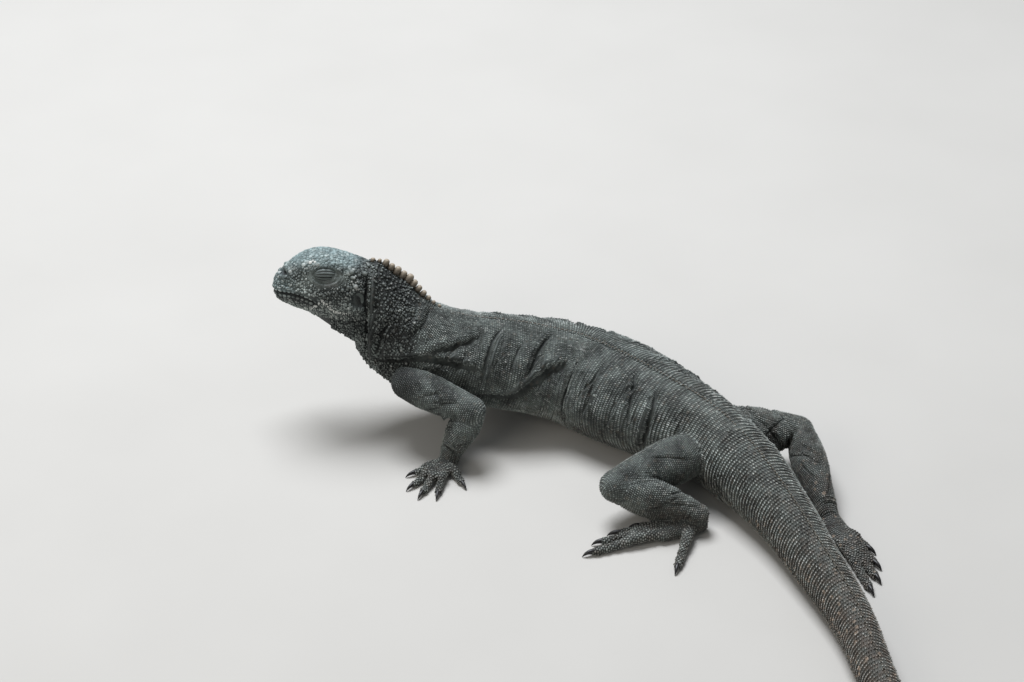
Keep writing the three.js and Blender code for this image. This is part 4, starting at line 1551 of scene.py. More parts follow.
class ScaleTree:
    """The node tree that sets one scale on every root and realizes them all."""

    SIZES = ("length", "width", "height", "sunk")
    SHARES = ("lean", "crown", "bulge", "dome")
    COUNTS = ("sides", "steps")

    def __init__(self) -> None:
        """Builds the tree with a named input for each size."""
        self.tree = bpy.data.node_groups.new("set_scales", "GeometryNodeTree")
        face = self.tree.interface
        face.new_socket("roots", in_out="INPUT", socket_type="NodeSocketGeometry")
        for name in (*self.SIZES, *self.SHARES, "patch"):
            face.new_socket(name, in_out="INPUT", socket_type="NodeSocketFloat")
        for name in self.COUNTS:
            face.new_socket(name, in_out="INPUT", socket_type="NodeSocketInt")
        face.new_socket("finish", in_out="INPUT", socket_type="NodeSocketMaterial")
        face.new_socket("scales", in_out="OUTPUT", socket_type="NodeSocketGeometry")
        add_node(self.tree, "NodeGroupInput")
        self.given = self.tree.nodes[-1].outputs
        self.set_on_roots(self.one_scale())

    def one_scale(self) -> bpy.types.NodeSocket:
        """One scale at the origin, its lie along X, with its height and its plan stored on it.

        Returns:
            Its mesh.
        """
        add, given = partial(add_node, self.tree), self.given
        crown = add("ShaderNodeMath", (given["crown"], 0.5), operation="MULTIPLY")
        cone = {"Vertices": given["sides"], "Side Segments": given["steps"], "Radius Top": crown}
        cone |= {"Radius Bottom": 0.5, "Depth": 1.0}
        mesh = add("GeometryNodeMeshCone", cone, "Mesh", fill_type="NGON")
        place = add("GeometryNodeInputPosition")
        height = add("ShaderNodeSeparateXYZ", (place,), "Z")
        rest = add("ShaderNodeMath", (1.0, height), operation="SUBTRACT")
        rounding = add("ShaderNodeMath", (height, rest), operation="MULTIPLY")
        waist = add("ShaderNodeMath", (given["bulge"], 4.0), operation="MULTIPLY")
        swell = add("ShaderNodeMath", (rounding, waist, 1.0), operation="MULTIPLY_ADD")
        widening = add("ShaderNodeCombineXYZ", (swell, swell, 1.0))
        dome = add("ShaderNodeMath", (rounding, given["dome"]), operation="MULTIPLY")
        lift = add("ShaderNodeCombineXYZ", {"Z": dome})
        plan = add("ShaderNodeVectorMath", (place, widening, lift), operation="MULTIPLY_ADD")
        lean = add("ShaderNodeMath", (height, given["lean"]), operation="MULTIPLY")
        leaning = add("ShaderNodeVectorMath", (plan, add("ShaderNodeCombineXYZ", (lean,))), operation="ADD")
        size = add("ShaderNodeCombineXYZ", (given["length"], given["width"], given["height"]))
        sunk = add("ShaderNodeMath", (given["sunk"], -1.0), operation="MULTIPLY")
        sunk = add("ShaderNodeCombineXYZ", {"Z": sunk})
        shaped = add("ShaderNodeVectorMath", (leaning, size, sunk), operation="MULTIPLY_ADD")
        for name, kind, value in (("rise", "FLOAT", height), ("plan", "FLOAT_VECTOR", plan)):
            stored = {"Geometry": mesh, "Name": name, "Value": value}
            mesh = add("GeometryNodeStoreNamedAttribute", stored, data_type=kind)
        return add("GeometryNodeSetPosition", {"Geometry": mesh, "Position": shaped})

    def set_on_roots(self, scale: bpy.types.NodeSocket) -> None:
        """Sets the scale on each root, lays out its patch of the unwrap and dresses it.

        Args:
            scale: The mesh of one scale.
        """
        add, given = partial(add_node, self.tree), self.given
        named = {
            name: add("GeometryNodeInputNamedAttribute", {"Name": name}, data_type="FLOAT_VECTOR")
            for name in ("facing", "along", "size", "root", "plan")
        }
        upright = add("FunctionNodeAlignRotationToVector", {"Vector": named["facing"]}, axis="Z")
        turned = {"Rotation": upright, "Vector": named["along"]}
        turned = add("FunctionNodeAlignRotationToVector", turned, axis="X", pivot_axis="Z")
        placed = {"Points": given["roots"], "Instance": scale, "Rotation": turned, "Scale": named["size"]}
        mesh = add("GeometryNodeRealizeInstances", (add("GeometryNodeInstanceOnPoints", placed),))
        patch = add("ShaderNodeVectorMath", (named["plan"], given["patch"]), operation="MULTIPLY")
        patch = add("ShaderNodeVectorMath", (named["root"], patch), operation="ADD")
        stored = {"Geometry": mesh, "Name": "OFBake", "Value": patch}
        mesh = add("GeometryNodeStoreNamedAttribute", stored, data_type="FLOAT2", domain="CORNER")
        for name in named:
            mesh = add("GeometryNodeRemoveAttribute", {0: mesh, "Name": name})
        mesh = add("GeometryNodeSetShadeSmooth", (mesh,))
        mesh = add("GeometryNodeSetMaterial", {0: mesh, "Material": given["finish"]})
        add("NodeGroupOutput", (mesh,))

    def grow(self, name: str, layout: Layout, form: ScaleForm, finish: bpy.types.Material) -> bpy.types.Object:
        """A piece with one scale on each root.

        Args:
            name: The piece's name.
            layout: The roots.
            form: The scale's sizes.
            finish: Its material.

        Returns:
            The piece, as one plain mesh.
        """
        roots = bpy.data.meshes.new(name)
        roots.vertices.add(len(layout.spots))
        roots.vertices.foreach_set("co", (layout.spots * MM).astype(np.float32).ravel())
        root = np.concatenate([layout.root, np.zeros((len(layout.root), 1))], 1)
        set_out = {"facing": layout.facing, "along": layout.along, "size": layout.size, "root": root}
        write_marks(roots, set_out | layout.marks)
        piece = add_object(name, roots)
        grown = piece.modifiers.new("scales", "NODES")
        grown.node_group = self.tree
        values = {size: getattr(form, size) * MM for size in self.SIZES}
        values |= {share: getattr(form, share) for share in (*self.SHARES, *self.COUNTS)}
        values |= {"patch": PATCH, "finish": finish}
        for socket in self.tree.interface.items_tree:
            if socket.name in values:
                grown[socket.identifier] = values[socket.name]
        piece.data = evaluated(piece, name)
        bpy.data.meshes.remove(roots)
        return piece


class Coat:
    """Lays scales out on the skin, form by form, without crowding."""

    def __init__(self, skin: Skin) -> None:
        """Starts with a bare skin.

        Args:
            skin: The finished skin.
        """
        self.skin = skin
        self.rng = np.random.default_rng(SEED + 1)
        self.taken: list[tuple[Array, float]] = []

    def places(
        self, guide: Guide, form: ScaleForm, first: float, last: float, grade: Profile
    ) -> tuple[Array, Array, Array]:
        """Staggered rings of scales between two distances along a guide.

        Args:
            guide: The form that they follow.
            form: The kind of scale.
            first, last: Where they begin and end.
            grade: How much longer than usual the scales are at distances along the guide.

        Returns:
            Their rows, columns and stretches.
        """
        sides = guide.rings.shape[1]
        lengths = [first]
        while lengths[-1] < last:
            lengths.append(lengths[-1] + form.pitch * float(grade.at(lengths[-1])))
        rows, columns = [], []
        for k, row in enumerate(guide.row_at(lengths[:-1])):
            i = min(int(row), len(guide.rings) - 2)
            rounds = guide.rounds[i] * (1 - row + i) + guide.rounds[i + 1] * (row - i)
            count = max(4, round(rounds[-1] / form.across))
            top = np.interp(sides / 4, np.arange(sides + 1), rounds)
            spots = (top + (np.arange(count) + 0.5 * (k % 2)) * rounds[-1] / count) % rounds[-1]
            columns.append(np.interp(spots, rounds, np.arange(sides + 1)))
            rows.append(np.full(count, row))
        row, column = np.concatenate(rows), np.concatenate(columns)
        stretch = grade.at(np.interp(row, np.arange(len(guide.lengths)), guide.lengths))
        pace = guide.lengths[-1] / (len(guide.rings) - 1)
        row = row + self.rng.normal(0, form.jitter * form.pitch / pace, len(row))
        girth = np.interp(row, np.arange(len(guide.rings)), guide.rounds[:, -1])
        column = column + self.rng.normal(0, form.jitter, len(row)) * form.across * sides / girth
        return row, column, stretch

    def lay(
        self,
        guide: Guide,
        form: ScaleForm,
        keep: Callable[[Array, Array], Array],
        first: float = 0,
        last: float | None = None,
        reach: float = 2.0,
        grade: Profile = Profile((0, 1), (1, 1)),
    ) -> Layout:
        """Scales of one kind on a stretch of a guide.

        Args:
            guide: The form that they follow.
            form: The kind of scale.
            keep: Tells from spots and normals which scales are wanted.
            first, last: Where they begin and end along the guide.
            reach: How far the skin may lie from the guide.
            grade: How much longer than usual the scales are at distances along the guide.

        Returns:
            Their layout on the skin.
        """
        last = guide.lengths[-1] if last is None else last
        return self.settle(guide, form, *self.places(guide, form, first, last, grade), reach, keep)

    def uncrowded(self, spots: Array, gap: float) -> Array:
        """Picks the spots that keep clear of all scales set so far and of one another.

        Args:
            spots: The spots, in millimetres.
            gap: The usual distance between these scales.

        Returns:
            The numbers of the spots that are free.
        """
        free = np.ones(len(spots), bool)
        for others, other_gap in self.taken:
            near = np.nonzero(((spots > others.min(0) - 3) & (spots < others.max(0) + 3)).all(1))[0]
            if not len(near):
                continue
            tree = KDTree(len(others))
            for i, other in enumerate(others.tolist()):
                tree.insert(other, i)
            tree.balance()
            closest = np.array([tree.find(spot)[2] for spot in spots[near].tolist()])
            free[near] &= closest > 0.42 * (gap + other_gap)
        _, first = np.unique(np.floor(spots / (0.6 * gap)).astype(np.int64), axis=0, return_index=True)
        fresh = np.sort(first[free[first]])
        self.taken.append((spots[fresh], gap))
        return fresh

    def settle(
        self,
        guide: Guide,
        form: ScaleForm,
        row: Array,
        column: Array,
        stretch: Array | float,
        reach: float,
        keep: Callable[[Array, Array], Array],
    ) -> Layout:
        """Moves scales onto the skin and thins them where they crowd.

        Args:
            guide: The form that they follow.
            form: The kind of scale.
            row, column: Their fractional rows and columns on the guide.
            stretch: How much longer than usual each is.
            reach: How far the skin may lie from the guide.
            keep: Tells from spots and normals which scales are wanted.

        Returns:
            Their layout on the skin.
        """
        found = row.shape
        kept, spots, normals = self.skin.settle(guide.at(row, column), reach)
        wanted = np.nonzero(keep(spots, normals))[0]
        wanted = wanted[self.uncrowded(spots[wanted], min(form.pitch, form.across))]
        kept, spots, normals = kept[wanted], spots[wanted], normals[wanted]
        row, column = row[kept], column[kept]
        along = guide.along(row, column)
        along = unit(along - normals * (along * normals).sum(1, keepdims=True))
        size = np.repeat(self.rng.normal(1, form.vary, (len(row), 1)).clip(0.55, 1.6), 3, axis=1)
        size[:, 2] *= self.rng.normal(1, form.vary, len(row)).clip(0.5, 1.5)
        size[:, 0] *= np.broadcast_to(stretch, found)[kept]
        marks = self.skin.marks(spots, self.rng.random(len(row)) ** form.dim)
        root = self.skin.unwrap.at(guide, row, column % guide.rings.shape[1])
        facing = unit(normals - along * math.tan(math.radians(form.tilt)))
        return Layout(spots, facing, along, size, root, marks)
# Finishes


def hex_linear(code: str) -> tuple[float, float, float, float]:
    """A linear colour from an sRGB hex value such as "#4c5558"."""
    parts = [int(code[i : i + 2], 16) / 255 for i in (1, 3, 5)]
    return (*(p / 12.92 if p <= 0.04045 else ((p + 0.055) / 1.055) ** 2.4 for p in parts), 1.0)


@dataclass(frozen=True)
class HideColours:
    """The hide's colours, shared by the skin and its scales.

    Attributes:
        dark, light: The mottled ground.
        brown, blue: The washes of the flanks and of the crown.
        spot, salt, crease: Pale spots; dried salt, whose colour also paints highlights on the tops of scales; and
            the near-black of the darkness mark, mostly painted shade in creases, grooves and pits.
        spot_mm: Distance between the spots.
        clouds: For each cloudy pattern, its size in millimetres, its detail and where it begins and ends.
        steps: For each value that is stepped, its source and where it begins and ends.
        sums: Each share in turn: its name, the sum and what it is worked out from.
    """

    dark: str = "#3b4542"
    light: str = "#a5b1ab"
    brown: str = "#8f8072"
    blue: str = "#8ea2a2"
    spot: str = "#b9a48f"
    salt: str = "#cfd0ca"
    # Near-black for painted shade in creases, grooves and pits.
    crease: str = "#0c0d0e"
    spot_mm: float = 2.8
    clouds = (
        ("mottle", 9.0, 6.0, 0.27, 0.75), ("blotch", 3.0, 3.0, 0.4, 0.66), ("clumps", 7.5, 5.0, 0.56, 0.63),
    )  # fmt: skip
    steps = (
        ("tone", "chance", 0.0, 1.0), ("lucky", "chance", 0.91, 0.98), ("common", "chance", 0.25, 0.7),
        ("crust", "salted", 1.15, 2.2), ("disc", "gap", 0.42, 0.25), ("chosen", "draw", 0.7, 0.78),
    )  # fmt: skip
    sums = (
        ("patchy", "MULTIPLY_ADD", "blotch", 0.6, 0.4), ("brown", "MULTIPLY", "brownish", "patchy"),
        ("thin", "MULTIPLY_ADD", "blotch", -0.42, 0.95), ("blue", "MULTIPLY", "bluish", "thin"),
        # A random tone for each scale, times painted shade that darkens the roots of scales and the bare skin
        # between them, less on the crown.
        ("bright", "MULTIPLY_ADD", "tone", 0.44, 0.58), ("root", "MULTIPLY_ADD", "bluish", 0.35, 0.36),
        ("lit", "MULTIPLY_ADD", "rise", 0.8, "root"), ("lit", "MULTIPLY", "bright", "lit"),
        ("shade", "SUBTRACT", 1.0, "lit"),
        ("spot", "MULTIPLY", "disc", "chosen"), ("spot", "MULTIPLY", "spot", "spotted"),
        ("spot", "MULTIPLY", "spot", 0.8),
        ("lucky", "MULTIPLY", "lucky", 0.75), ("common", "MULTIPLY", "clumps", "common"),
        ("dusty", "MAXIMUM", "common", "lucky"), ("salt", "MULTIPLY", "salted", 0.8),
        ("salt", "MULTIPLY", "salt", "dusty"), ("dry", "MULTIPLY_ADD", "bluish", -0.6, 1.0),
        ("salt", "MULTIPLY", "salt", "dry"), ("salt", "MAXIMUM", "salt", "crust"),
        ("high", "ADD", "rise", 0.15), ("high", "MULTIPLY", "rise", "high"),
        ("salt", "MULTIPLY", "salt", "high"),
        # The tops of scales turn towards the salt colour, a painted highlight that is partly wear, weaker on the
        # crown.
        ("tip", "MULTIPLY", "rise", "rise"), ("worn", "MULTIPLY_ADD", "tone", 0.26, 0.06),
        ("tip", "MULTIPLY", "tip", "worn"), ("bare", "MULTIPLY_ADD", "bluish", -0.75, 1.0),
        ("tip", "MULTIPLY", "tip", "bare"),
        # The darkness mark, mostly painted shade, turns the hide near-black, less so on the tops of scales.
        ("deep", "MULTIPLY_ADD", "rise", -0.35, 1.0), ("deep", "MULTIPLY", "darkness", "deep"),
        ("deep", "MULTIPLY", "deep", 0.95),
    )  # fmt: skip

    def group(self) -> bpy.types.NodeTree:
        """A node group that gives the hide's colour at any point of it.

        Returns:
            The group.
        """
        tree = bpy.data.node_groups.new("hide_markings", "ShaderNodeTree")
        tree.interface.new_socket("Color", in_out="OUTPUT", socket_type="NodeSocketColor")
        add = partial(add_node, tree)
        place = add("ShaderNodeTexCoord", output="Object")
        made = {"rise": add("ShaderNodeAttribute", output="Fac", attribute_name="rise")}
        # The second mark holds salt, the darkness that is mostly painted shade, and each scale's chance.
        marks = {"wash": ("bluish", "brownish", "spotted"), "wear": ("salted", "darkness", "chance")}
        for name, axes in marks.items():
            vector = add("ShaderNodeAttribute", output="Vector", attribute_name=name)
            made |= {axis: add("ShaderNodeSeparateXYZ", (vector,), i) for i, axis in enumerate(axes)}
        cells = {"Vector": place, "Scale": 1 / (self.spot_mm * MM)}
        made["gap"] = add("ShaderNodeTexVoronoi", cells, "Distance")
        made["draw"] = add("ShaderNodeSeparateColor", (add("ShaderNodeTexVoronoi", cells, "Color"),))
        steps = list(self.steps)
        for name, size, detail, low, high in self.clouds:
            noise = {"Vector": place, "Scale": 1 / (size * MM), "Detail": detail, "Roughness": 0.6}
            made[f"{name}_noise"] = add("ShaderNodeTexNoise", noise)
            steps.append((name, f"{name}_noise", low, high))
        for name, source, low, high in steps:
            span = {"Value": made[source], "From Min": low, "From Max": high}
            made[name] = add("ShaderNodeMapRange", span, interpolation_type="SMOOTHSTEP")
        for name, operation, *numbers in self.sums:
            numbers = tuple(made.get(number, number) for number in numbers)
            made[name] = add("ShaderNodeMath", numbers, operation=operation, use_clamp=True)
        colour = hex_linear(self.dark)
        # Layers: the mottled ground, the washes, painted shade towards black at roots and between scales, pale
        # spots, salt, a painted highlight on the tops of scales in the salt colour, and the near-black darkness
        # mark.
        layers = (
            ("mottle", self.light), ("brown", self.brown), ("blue", self.blue), ("shade", "#000000"),
            ("spot", self.spot), ("salt", self.salt), ("tip", self.salt), ("deep", self.crease),
        )  # fmt: skip
        for share, tint in layers:
            colour = add("ShaderNodeMix", {0: made[share], 6: colour, 7: hex_linear(tint)}, 2, data_type="RGBA")
        add("NodeGroupOutput", (colour,))
        return tree


@dataclass(frozen=True)
class Finish:
    """A material with its pattern in Object coordinates.

    Attributes:
        name: The material's name.
        roughness: Of the surface.
    """

    name: str
    roughness: float

    def surface(self, add: Callable, place: bpy.types.NodeSocket) -> dict[str, object]:
        """What goes into the shader's sockets besides the roughness.

        Args:
            add: Adds a node to the material's tree.
            place: Object coordinates.

        Returns:
            Values or sockets by the shader's socket.
        """
        raise NotImplementedError

    def material(self) -> bpy.types.Material:
        """The material.

        Returns:
            The material, built in its own tree.
        """
        made = bpy.data.materials.new(self.name)
        made.use_nodes = True
        made.node_tree.nodes.clear()
        add = partial(add_node, made.node_tree)
        inputs = self.surface(add, add("ShaderNodeTexCoord", output="Object"))
        shader = add("ShaderNodeBsdfPrincipled", {"Roughness": self.roughness, **inputs})
        add("ShaderNodeOutputMaterial", {"Surface": shader})
        return made


@dataclass(frozen=True)
class HideFinish(Finish):
    """Reptile skin: dull keratin over dark hide, with a low sheen that breaks up over fine grain.

    Attributes:
        markings: The group that colours it.
        grain_mm, grain_depth: Size and depth of the grain, in millimetres.
        specular: Strength of its sheen.
    """

    markings: bpy.types.NodeTree
    grain_mm: float = 1.15
    grain_depth: float = 0.12
    specular: float = 0.4

    def surface(self, add: Callable, place: bpy.types.NodeSocket) -> dict[str, object]:
        """The shared markings, with a grain of cells.

        Args:
            add: Adds a node to the material's tree.
            place: Object coordinates.

        Returns:
            Values or sockets by the shader's socket.
        """
        grain = 1 / (self.grain_mm * MM)
        cells = add("ShaderNodeTexVoronoi", {"Vector": place, "Scale": grain}, "Distance")
        fine = add("ShaderNodeTexNoise", {"Vector": place, "Scale": 2.6 * grain, "Detail": 2.0})
        height = add("ShaderNodeMath", (fine, cells), operation="SUBTRACT")
        bump = add("ShaderNodeBump", {"Distance": self.grain_depth * MM, "Height": height})
        colour = add("ShaderNodeGroup", node_tree=self.markings)
        return {"Base Color": colour, "Specular IOR Level": self.specular, "Normal": bump}


@dataclass(frozen=True)
class HornFinish(Finish):
    """Solid keratin, as in claws and crest lobes: streaked along its growth, smooth, with a soft gloss.

    Attributes:
        dark, light: Its colours.
        streak_mm: Width of its streaks.
    """

    dark: str
    light: str
    streak_mm: float

    def surface(self, add: Callable, place: bpy.types.NodeSocket) -> dict[str, object]:
        """Streaks that turn paler towards the tip.

        Args:
            add: Adds a node to the material's tree.
            place: Object coordinates.

        Returns:
            Values or sockets by the shader's socket.
        """
        streaks = {"Vector": place, "Scale": 1 / (self.streak_mm * MM), "Detail": 4.0, "Roughness": 0.65}
        streaks = add("ShaderNodeTexNoise", streaks)
        rise = add("ShaderNodeAttribute", output="Fac", attribute_name="rise")
        share = add("ShaderNodeMath", (streaks, rise), operation="ADD")
        share = add("ShaderNodeMapRange", {"Value": share, "From Min": 0.5, "From Max": 1.35})
        colours = {0: share, 6: hex_linear(self.dark), 7: hex_linear(self.light)}
        bump = add("ShaderNodeBump", {"Distance": 0.08 * MM, "Height": streaks})
        return {"Base Color": add("ShaderNodeMix", colours, 2, data_type="RGBA"), "Normal": bump}


@dataclass(frozen=True)
class PlasterFinish(Finish):
    """A matt plaster floor: pale, with a faint unevenness from the float.

    Attributes:
        pale, shade: Its two close colours.
    """

    pale: str = "#c4c1bb"
    shade: str = "#bbb8b2"

    def surface(self, add: Callable, place: bpy.types.NodeSocket) -> dict[str, object]:
        """Two close colours in wide clouds."""
        cloud = add("ShaderNodeTexNoise", {"Vector": place, "Scale": 9.0, "Detail": 3.0})
        colours = {0: cloud, 6: hex_linear(self.pale), 7: hex_linear(self.shade)}
        return {"Base Color": add("ShaderNodeMix", colours, 2, data_type="RGBA")}
# Pieces

SLOTS = {
    "skin": BODY_SLOT, "neck": BODY_SLOT, "chest": BODY_SLOT, "hip": BODY_SLOT, "belly": BODY_SLOT,
    "nape": BODY_SLOT, "back": BODY_SLOT, "tail": TAIL_SLOT, "front": LEG_SLOT, "hind": LEG_SLOT,
    "lid": "eyelid_skin", "drum": "eardrum_skin",
}  # fmt: skip


def slot_of(name: str) -> str:
    """The slot of a piece's finish, from the first word of its name."""
    return SLOTS.get(name.split("_")[0], HEAD_SLOT)


def declare(piece: bpy.types.Object, *nodes: str) -> None:
    """Makes a piece ride with the animal, hides the solids that it stands for and logs its faces.

    Args:
        piece: The finished piece.
        nodes: The solids.
    """
    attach(piece, "root")
    if nodes:
        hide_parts(*nodes)
    log.info("%s: %d faces", piece.name, len(piece.data.polygons))


def above(height: float) -> Callable[[Array, Array], Array]:
    """A test of spots and normals for scales that root above a height."""
    return lambda spots, _: spots[:, 2] > height


@dataclass
class Hide:
    """The scales of the whole animal, region by region."""

    skin: Skin
    head: Head
    guides: dict[str, Guide]
    tree: ScaleTree
    finishes: dict[str, bpy.types.Material]
    granule: ScaleForm = ScaleForm(
        1.2, 1.1, 0.8, 1.15, 1.12, 0.15, 0.4, 0.25, 0.8, 6, 2, jitter=0.22, vary=0.28, dim=2.4
    )  # fmt: skip
    trunk: ScaleForm = ScaleForm(1.2, 1.0, 0.66, 1.12, 1.04, 0.4, 0.14, 0.0, 0.3, 5, 1, jitter=0.03, vary=0.1)
    belly: ScaleForm = ScaleForm(1.6, 1.5, 0.42, 1.6, 1.55, 0.3, 0.5, 0.0, 0.2, 5, 1)
    whorl: ScaleForm = ScaleForm(2.3, 1.25, 0.85, 2.1, 1.28, 0.42, 0.16, 0.0, 0.2, 5, 1, tilt=7, jitter=0.03)
    limb: ScaleForm = ScaleForm(1.1, 0.95, 0.6, 1.05, 1.0, 0.38, 0.14, 0.0, 0.3, 5, 1, jitter=0.03, vary=0.1)
    foot: ScaleForm = ScaleForm(1.05, 0.95, 0.5, 1.02, 0.98, 0.3, 0.3, 0.0, 0.3, 5, 1)
    toe: ScaleForm = ScaleForm(1.25, 1.6, 0.48, 1.15, 1.6, 0.25, 0.5, 0.0, 0.3, 6, 1, jitter=0.03)
    plate: ScaleForm = ScaleForm(
        1.72, 1.62, 0.3, 1.34, 1.32, 0.05, 0.74, 0.05, 0.4, 7, 2, jitter=0.26, vary=0.26
    )  # fmt: skip
    cheek: ScaleForm = ScaleForm(
        1.2, 1.12, 0.5, 1.05, 1.02, 0.1, 0.6, 0.1, 0.4, 6, 2, jitter=0.25, vary=0.24, dim=1.5
    )  # fmt: skip
    temple: ScaleForm = ScaleForm(2.1, 1.95, 1.1, 2.0, 2.0, 0.1, 0.35, 0.3, 0.9, 8, 3, jitter=0.25, vary=0.3)
    lip: ScaleForm = ScaleForm(2.2, 1.4, 0.5, 2.2, 1.5, 0.0, 0.66, 0.05, 0.4, 8, 2, jitter=0.04, vary=0.1)
    lip_rows: tuple[float, float] = (1.35, -1.3)

    def length_of(self, station: float) -> float:
        """The distance along the spine's guide at a station."""
        guide = self.guides["spine"]
        return float(np.interp(station, guide.stations, guide.lengths))

    def grow(self, name: str, layout: Layout, form: ScaleForm) -> None:
        declare(self.tree.grow(name, layout, form, self.finishes[slot_of(name)]))

    def on_crown(self, x: Array, z: Array) -> Array:
        """Whether places in the head's side view lie on its crown."""
        return z > np.interp(x, (0, 12, 30, 40), (13.5, 17.2, 13.5, 7.5))

    def on_temple(self, x: Array, z: Array) -> Array:
        """Whether places in the head's side view lie in the two groups of tubercles behind the eye."""
        upper, lower = np.hypot((x - 0.8) / 4.4, (z - 13) / 3.2), np.hypot((x - 3.5) / 4.4, (z - 5.5) / 2.4)
        return (np.minimum(upper, lower) < 1) & ~self.on_crown(x, z)

    def on_cheek(self, x: Array, z: Array) -> Array:
        """Whether places in the head's side view lie below the crown."""
        return ~self.on_crown(x, z)

    def on_head(self, part: Callable[[Array, Array], Array], spots: Array, _: Array) -> Array:
        """Whether spots lie in a part of the head's side view and clear of its features."""
        x, _, z = self.head.to_head(spots).T
        return part(x, z) & self.clear_of_features(spots)

    def clear_of_features(self, spots: Array) -> Array:
        """Keeps scales off the features of the head.

        Args:
            spots: Points of the head, in millimetres.

        Returns:
            Whether each lies clear of the lids, ears, nostrils, mouth and lip plates.
        """
        head = self.head
        x, y, z = head.to_head(spots).T
        ring, below = head.round_eye(spots)
        lid = ring > 1.22 + 0.45 * below
        drum = np.hypot((x - head.ear[0]) / (head.drum[0] + 0.8), (z - head.ear[1]) / (head.drum[2] + 0.8)) > 1
        nx, ny, nz = head.nostril
        hole = (np.hypot((x - nx) / 1.25, z - nz) > 1.75) | (np.abs(y) < ny - 4)
        off_lips = (np.abs(z - head.mouth_at(x) - 0.1) > 2.3) | (x < 19.5)
        return (lid | (np.abs(y) < 6)) & (drum | (np.abs(y) < 9)) & hole & off_lips

    def lips(self, coat: Coat) -> Layout:
        """The plates along both lips, from the corners of the mouth to the snout.

        Args:
            coat: What lays them out.

        Returns:
            Their layout.
        """
        head = self.head
        places = np.arange(21.0, head.length - 1.2, self.lip.pitch)
        spots = [
            head.side_point(x, float(head.mouth_at(x)) + row, side)
            for side in Side
            for x in places
            for row in self.lip_rows
        ]
        spots += [(head.length, 0.0, head.mouth[-1][1] + row) for row in self.lip_rows]
        _, row, column = self.guides["head"].nearest(head.to_world(np.array(spots)), 3.0)
        return coat.settle(self.guides["head"], self.lip, row, column, 1.0, 2.0, above(0))

    def cover_head(self, coat: Coat) -> None:
        """Makes the head's plates, tubercles and cheek scales.

        Args:
            coat: What lays them out.
        """
        self.grow("lip_plates", self.lips(coat), self.lip)
        for name, form, part in (
            ("temple_tubercles", self.temple, self.on_temple),
            ("crown_plates", self.plate, self.on_crown),
            ("cheek_scales", self.cheek, self.on_cheek),
        ):
            wanted = partial(self.on_head, part)
            self.grow(name, coat.lay(self.guides["head"], form, wanted, 0.5, reach=1.2), form)

    def cover_body(self, coat: Coat) -> None:
        """Makes the scales of neck, trunk, belly and tail.

        Args:
            coat: What lays them out.
        """

        def on_neck(spots: Array, _: Array) -> Array:
            """Whether spots lie behind or below the head."""
            x, _, z = self.head.to_head(spots).T
            fading = coat.rng.random(len(x)) < ramp(-spots[:, 0], 110, 124)
            return ((x < 1.5) | (z < -9)) & fading & self.clear_of_features(spots)

        def not_under(_: Array, normals: Array) -> Array:
            """Whether the skin faces sideways or upwards."""
            return normals[:, 2] > -0.75

        spine = self.guides["spine"]
        neck_end, chest_end, hips = (self.length_of(s) for s in (5.9, 10.4, 14.6))
        neck = coat.lay(spine, self.granule, on_neck, self.length_of(1.2), self.length_of(7), 2.4)
        neck.size *= ramp(-neck.spots[:, 0], 106, 124)[:, None] * 0.4 + 0.6
        self.grow("neck_granules", neck, self.granule)
        coarser = Profile(tuple(self.length_of(s) for s in (9, 11, 13, 14.6)), (1, 1.2, 1.7, 1.95))
        for name, first, last in (("chest_scales", neck_end, chest_end), ("hip_scales", chest_end, hips)):
            self.grow(name, coat.lay(spine, self.trunk, not_under, first, last, grade=coarser), self.trunk)
        self.grow("belly_scales", coat.lay(spine, self.belly, above(0.7), neck_end, hips), self.belly)
        tail = coat.lay(spine, self.whorl, above(1.1), hips, spine.lengths[-1] - 4)
        tail.size *= np.interp(-tail.spots[:, 1], (60, 200, 320), (1.0, 0.85, 0.5))[:, None]
        self.grow("tail_scales", tail, self.whorl)

    def cover_leg(self, coat: Coat, leg: Leg) -> None:
        """Makes the scales of a leg, of its foot and of its toes.

        Args:
            coat: What lays them out.
            leg: The leg.
        """
        name = leg.name
        limb = [coat.lay(self.guides[f"{name}_{part}"], self.limb, above(1.6)) for part in ("upper", "lower")]
        self.grow(f"{name}_scales", Layout.together(limb), self.limb)
        toes = [self.guides[f"{name}_toe_{i + 1}"] for i in range(len(leg.plan.toes))]
        toes = [coat.lay(toe, self.toe, above(0.6), 1.5, reach=1.2) for toe in toes]
        sole = coat.lay(self.guides[f"{name}_sole"], self.foot, above(0.6))
        self.grow(f"{name}_foot_scales", sole, self.foot)
        self.grow(f"{name}_toe_scales", Layout.together(toes), self.toe)

    def build(self) -> None:
        """Makes all coats of scales, from the snout to the toes."""
        coat = Coat(self.skin)
        self.cover_head(coat)
        self.cover_body(coat)
        for leg in LEGS:
            self.cover_leg(coat, leg)


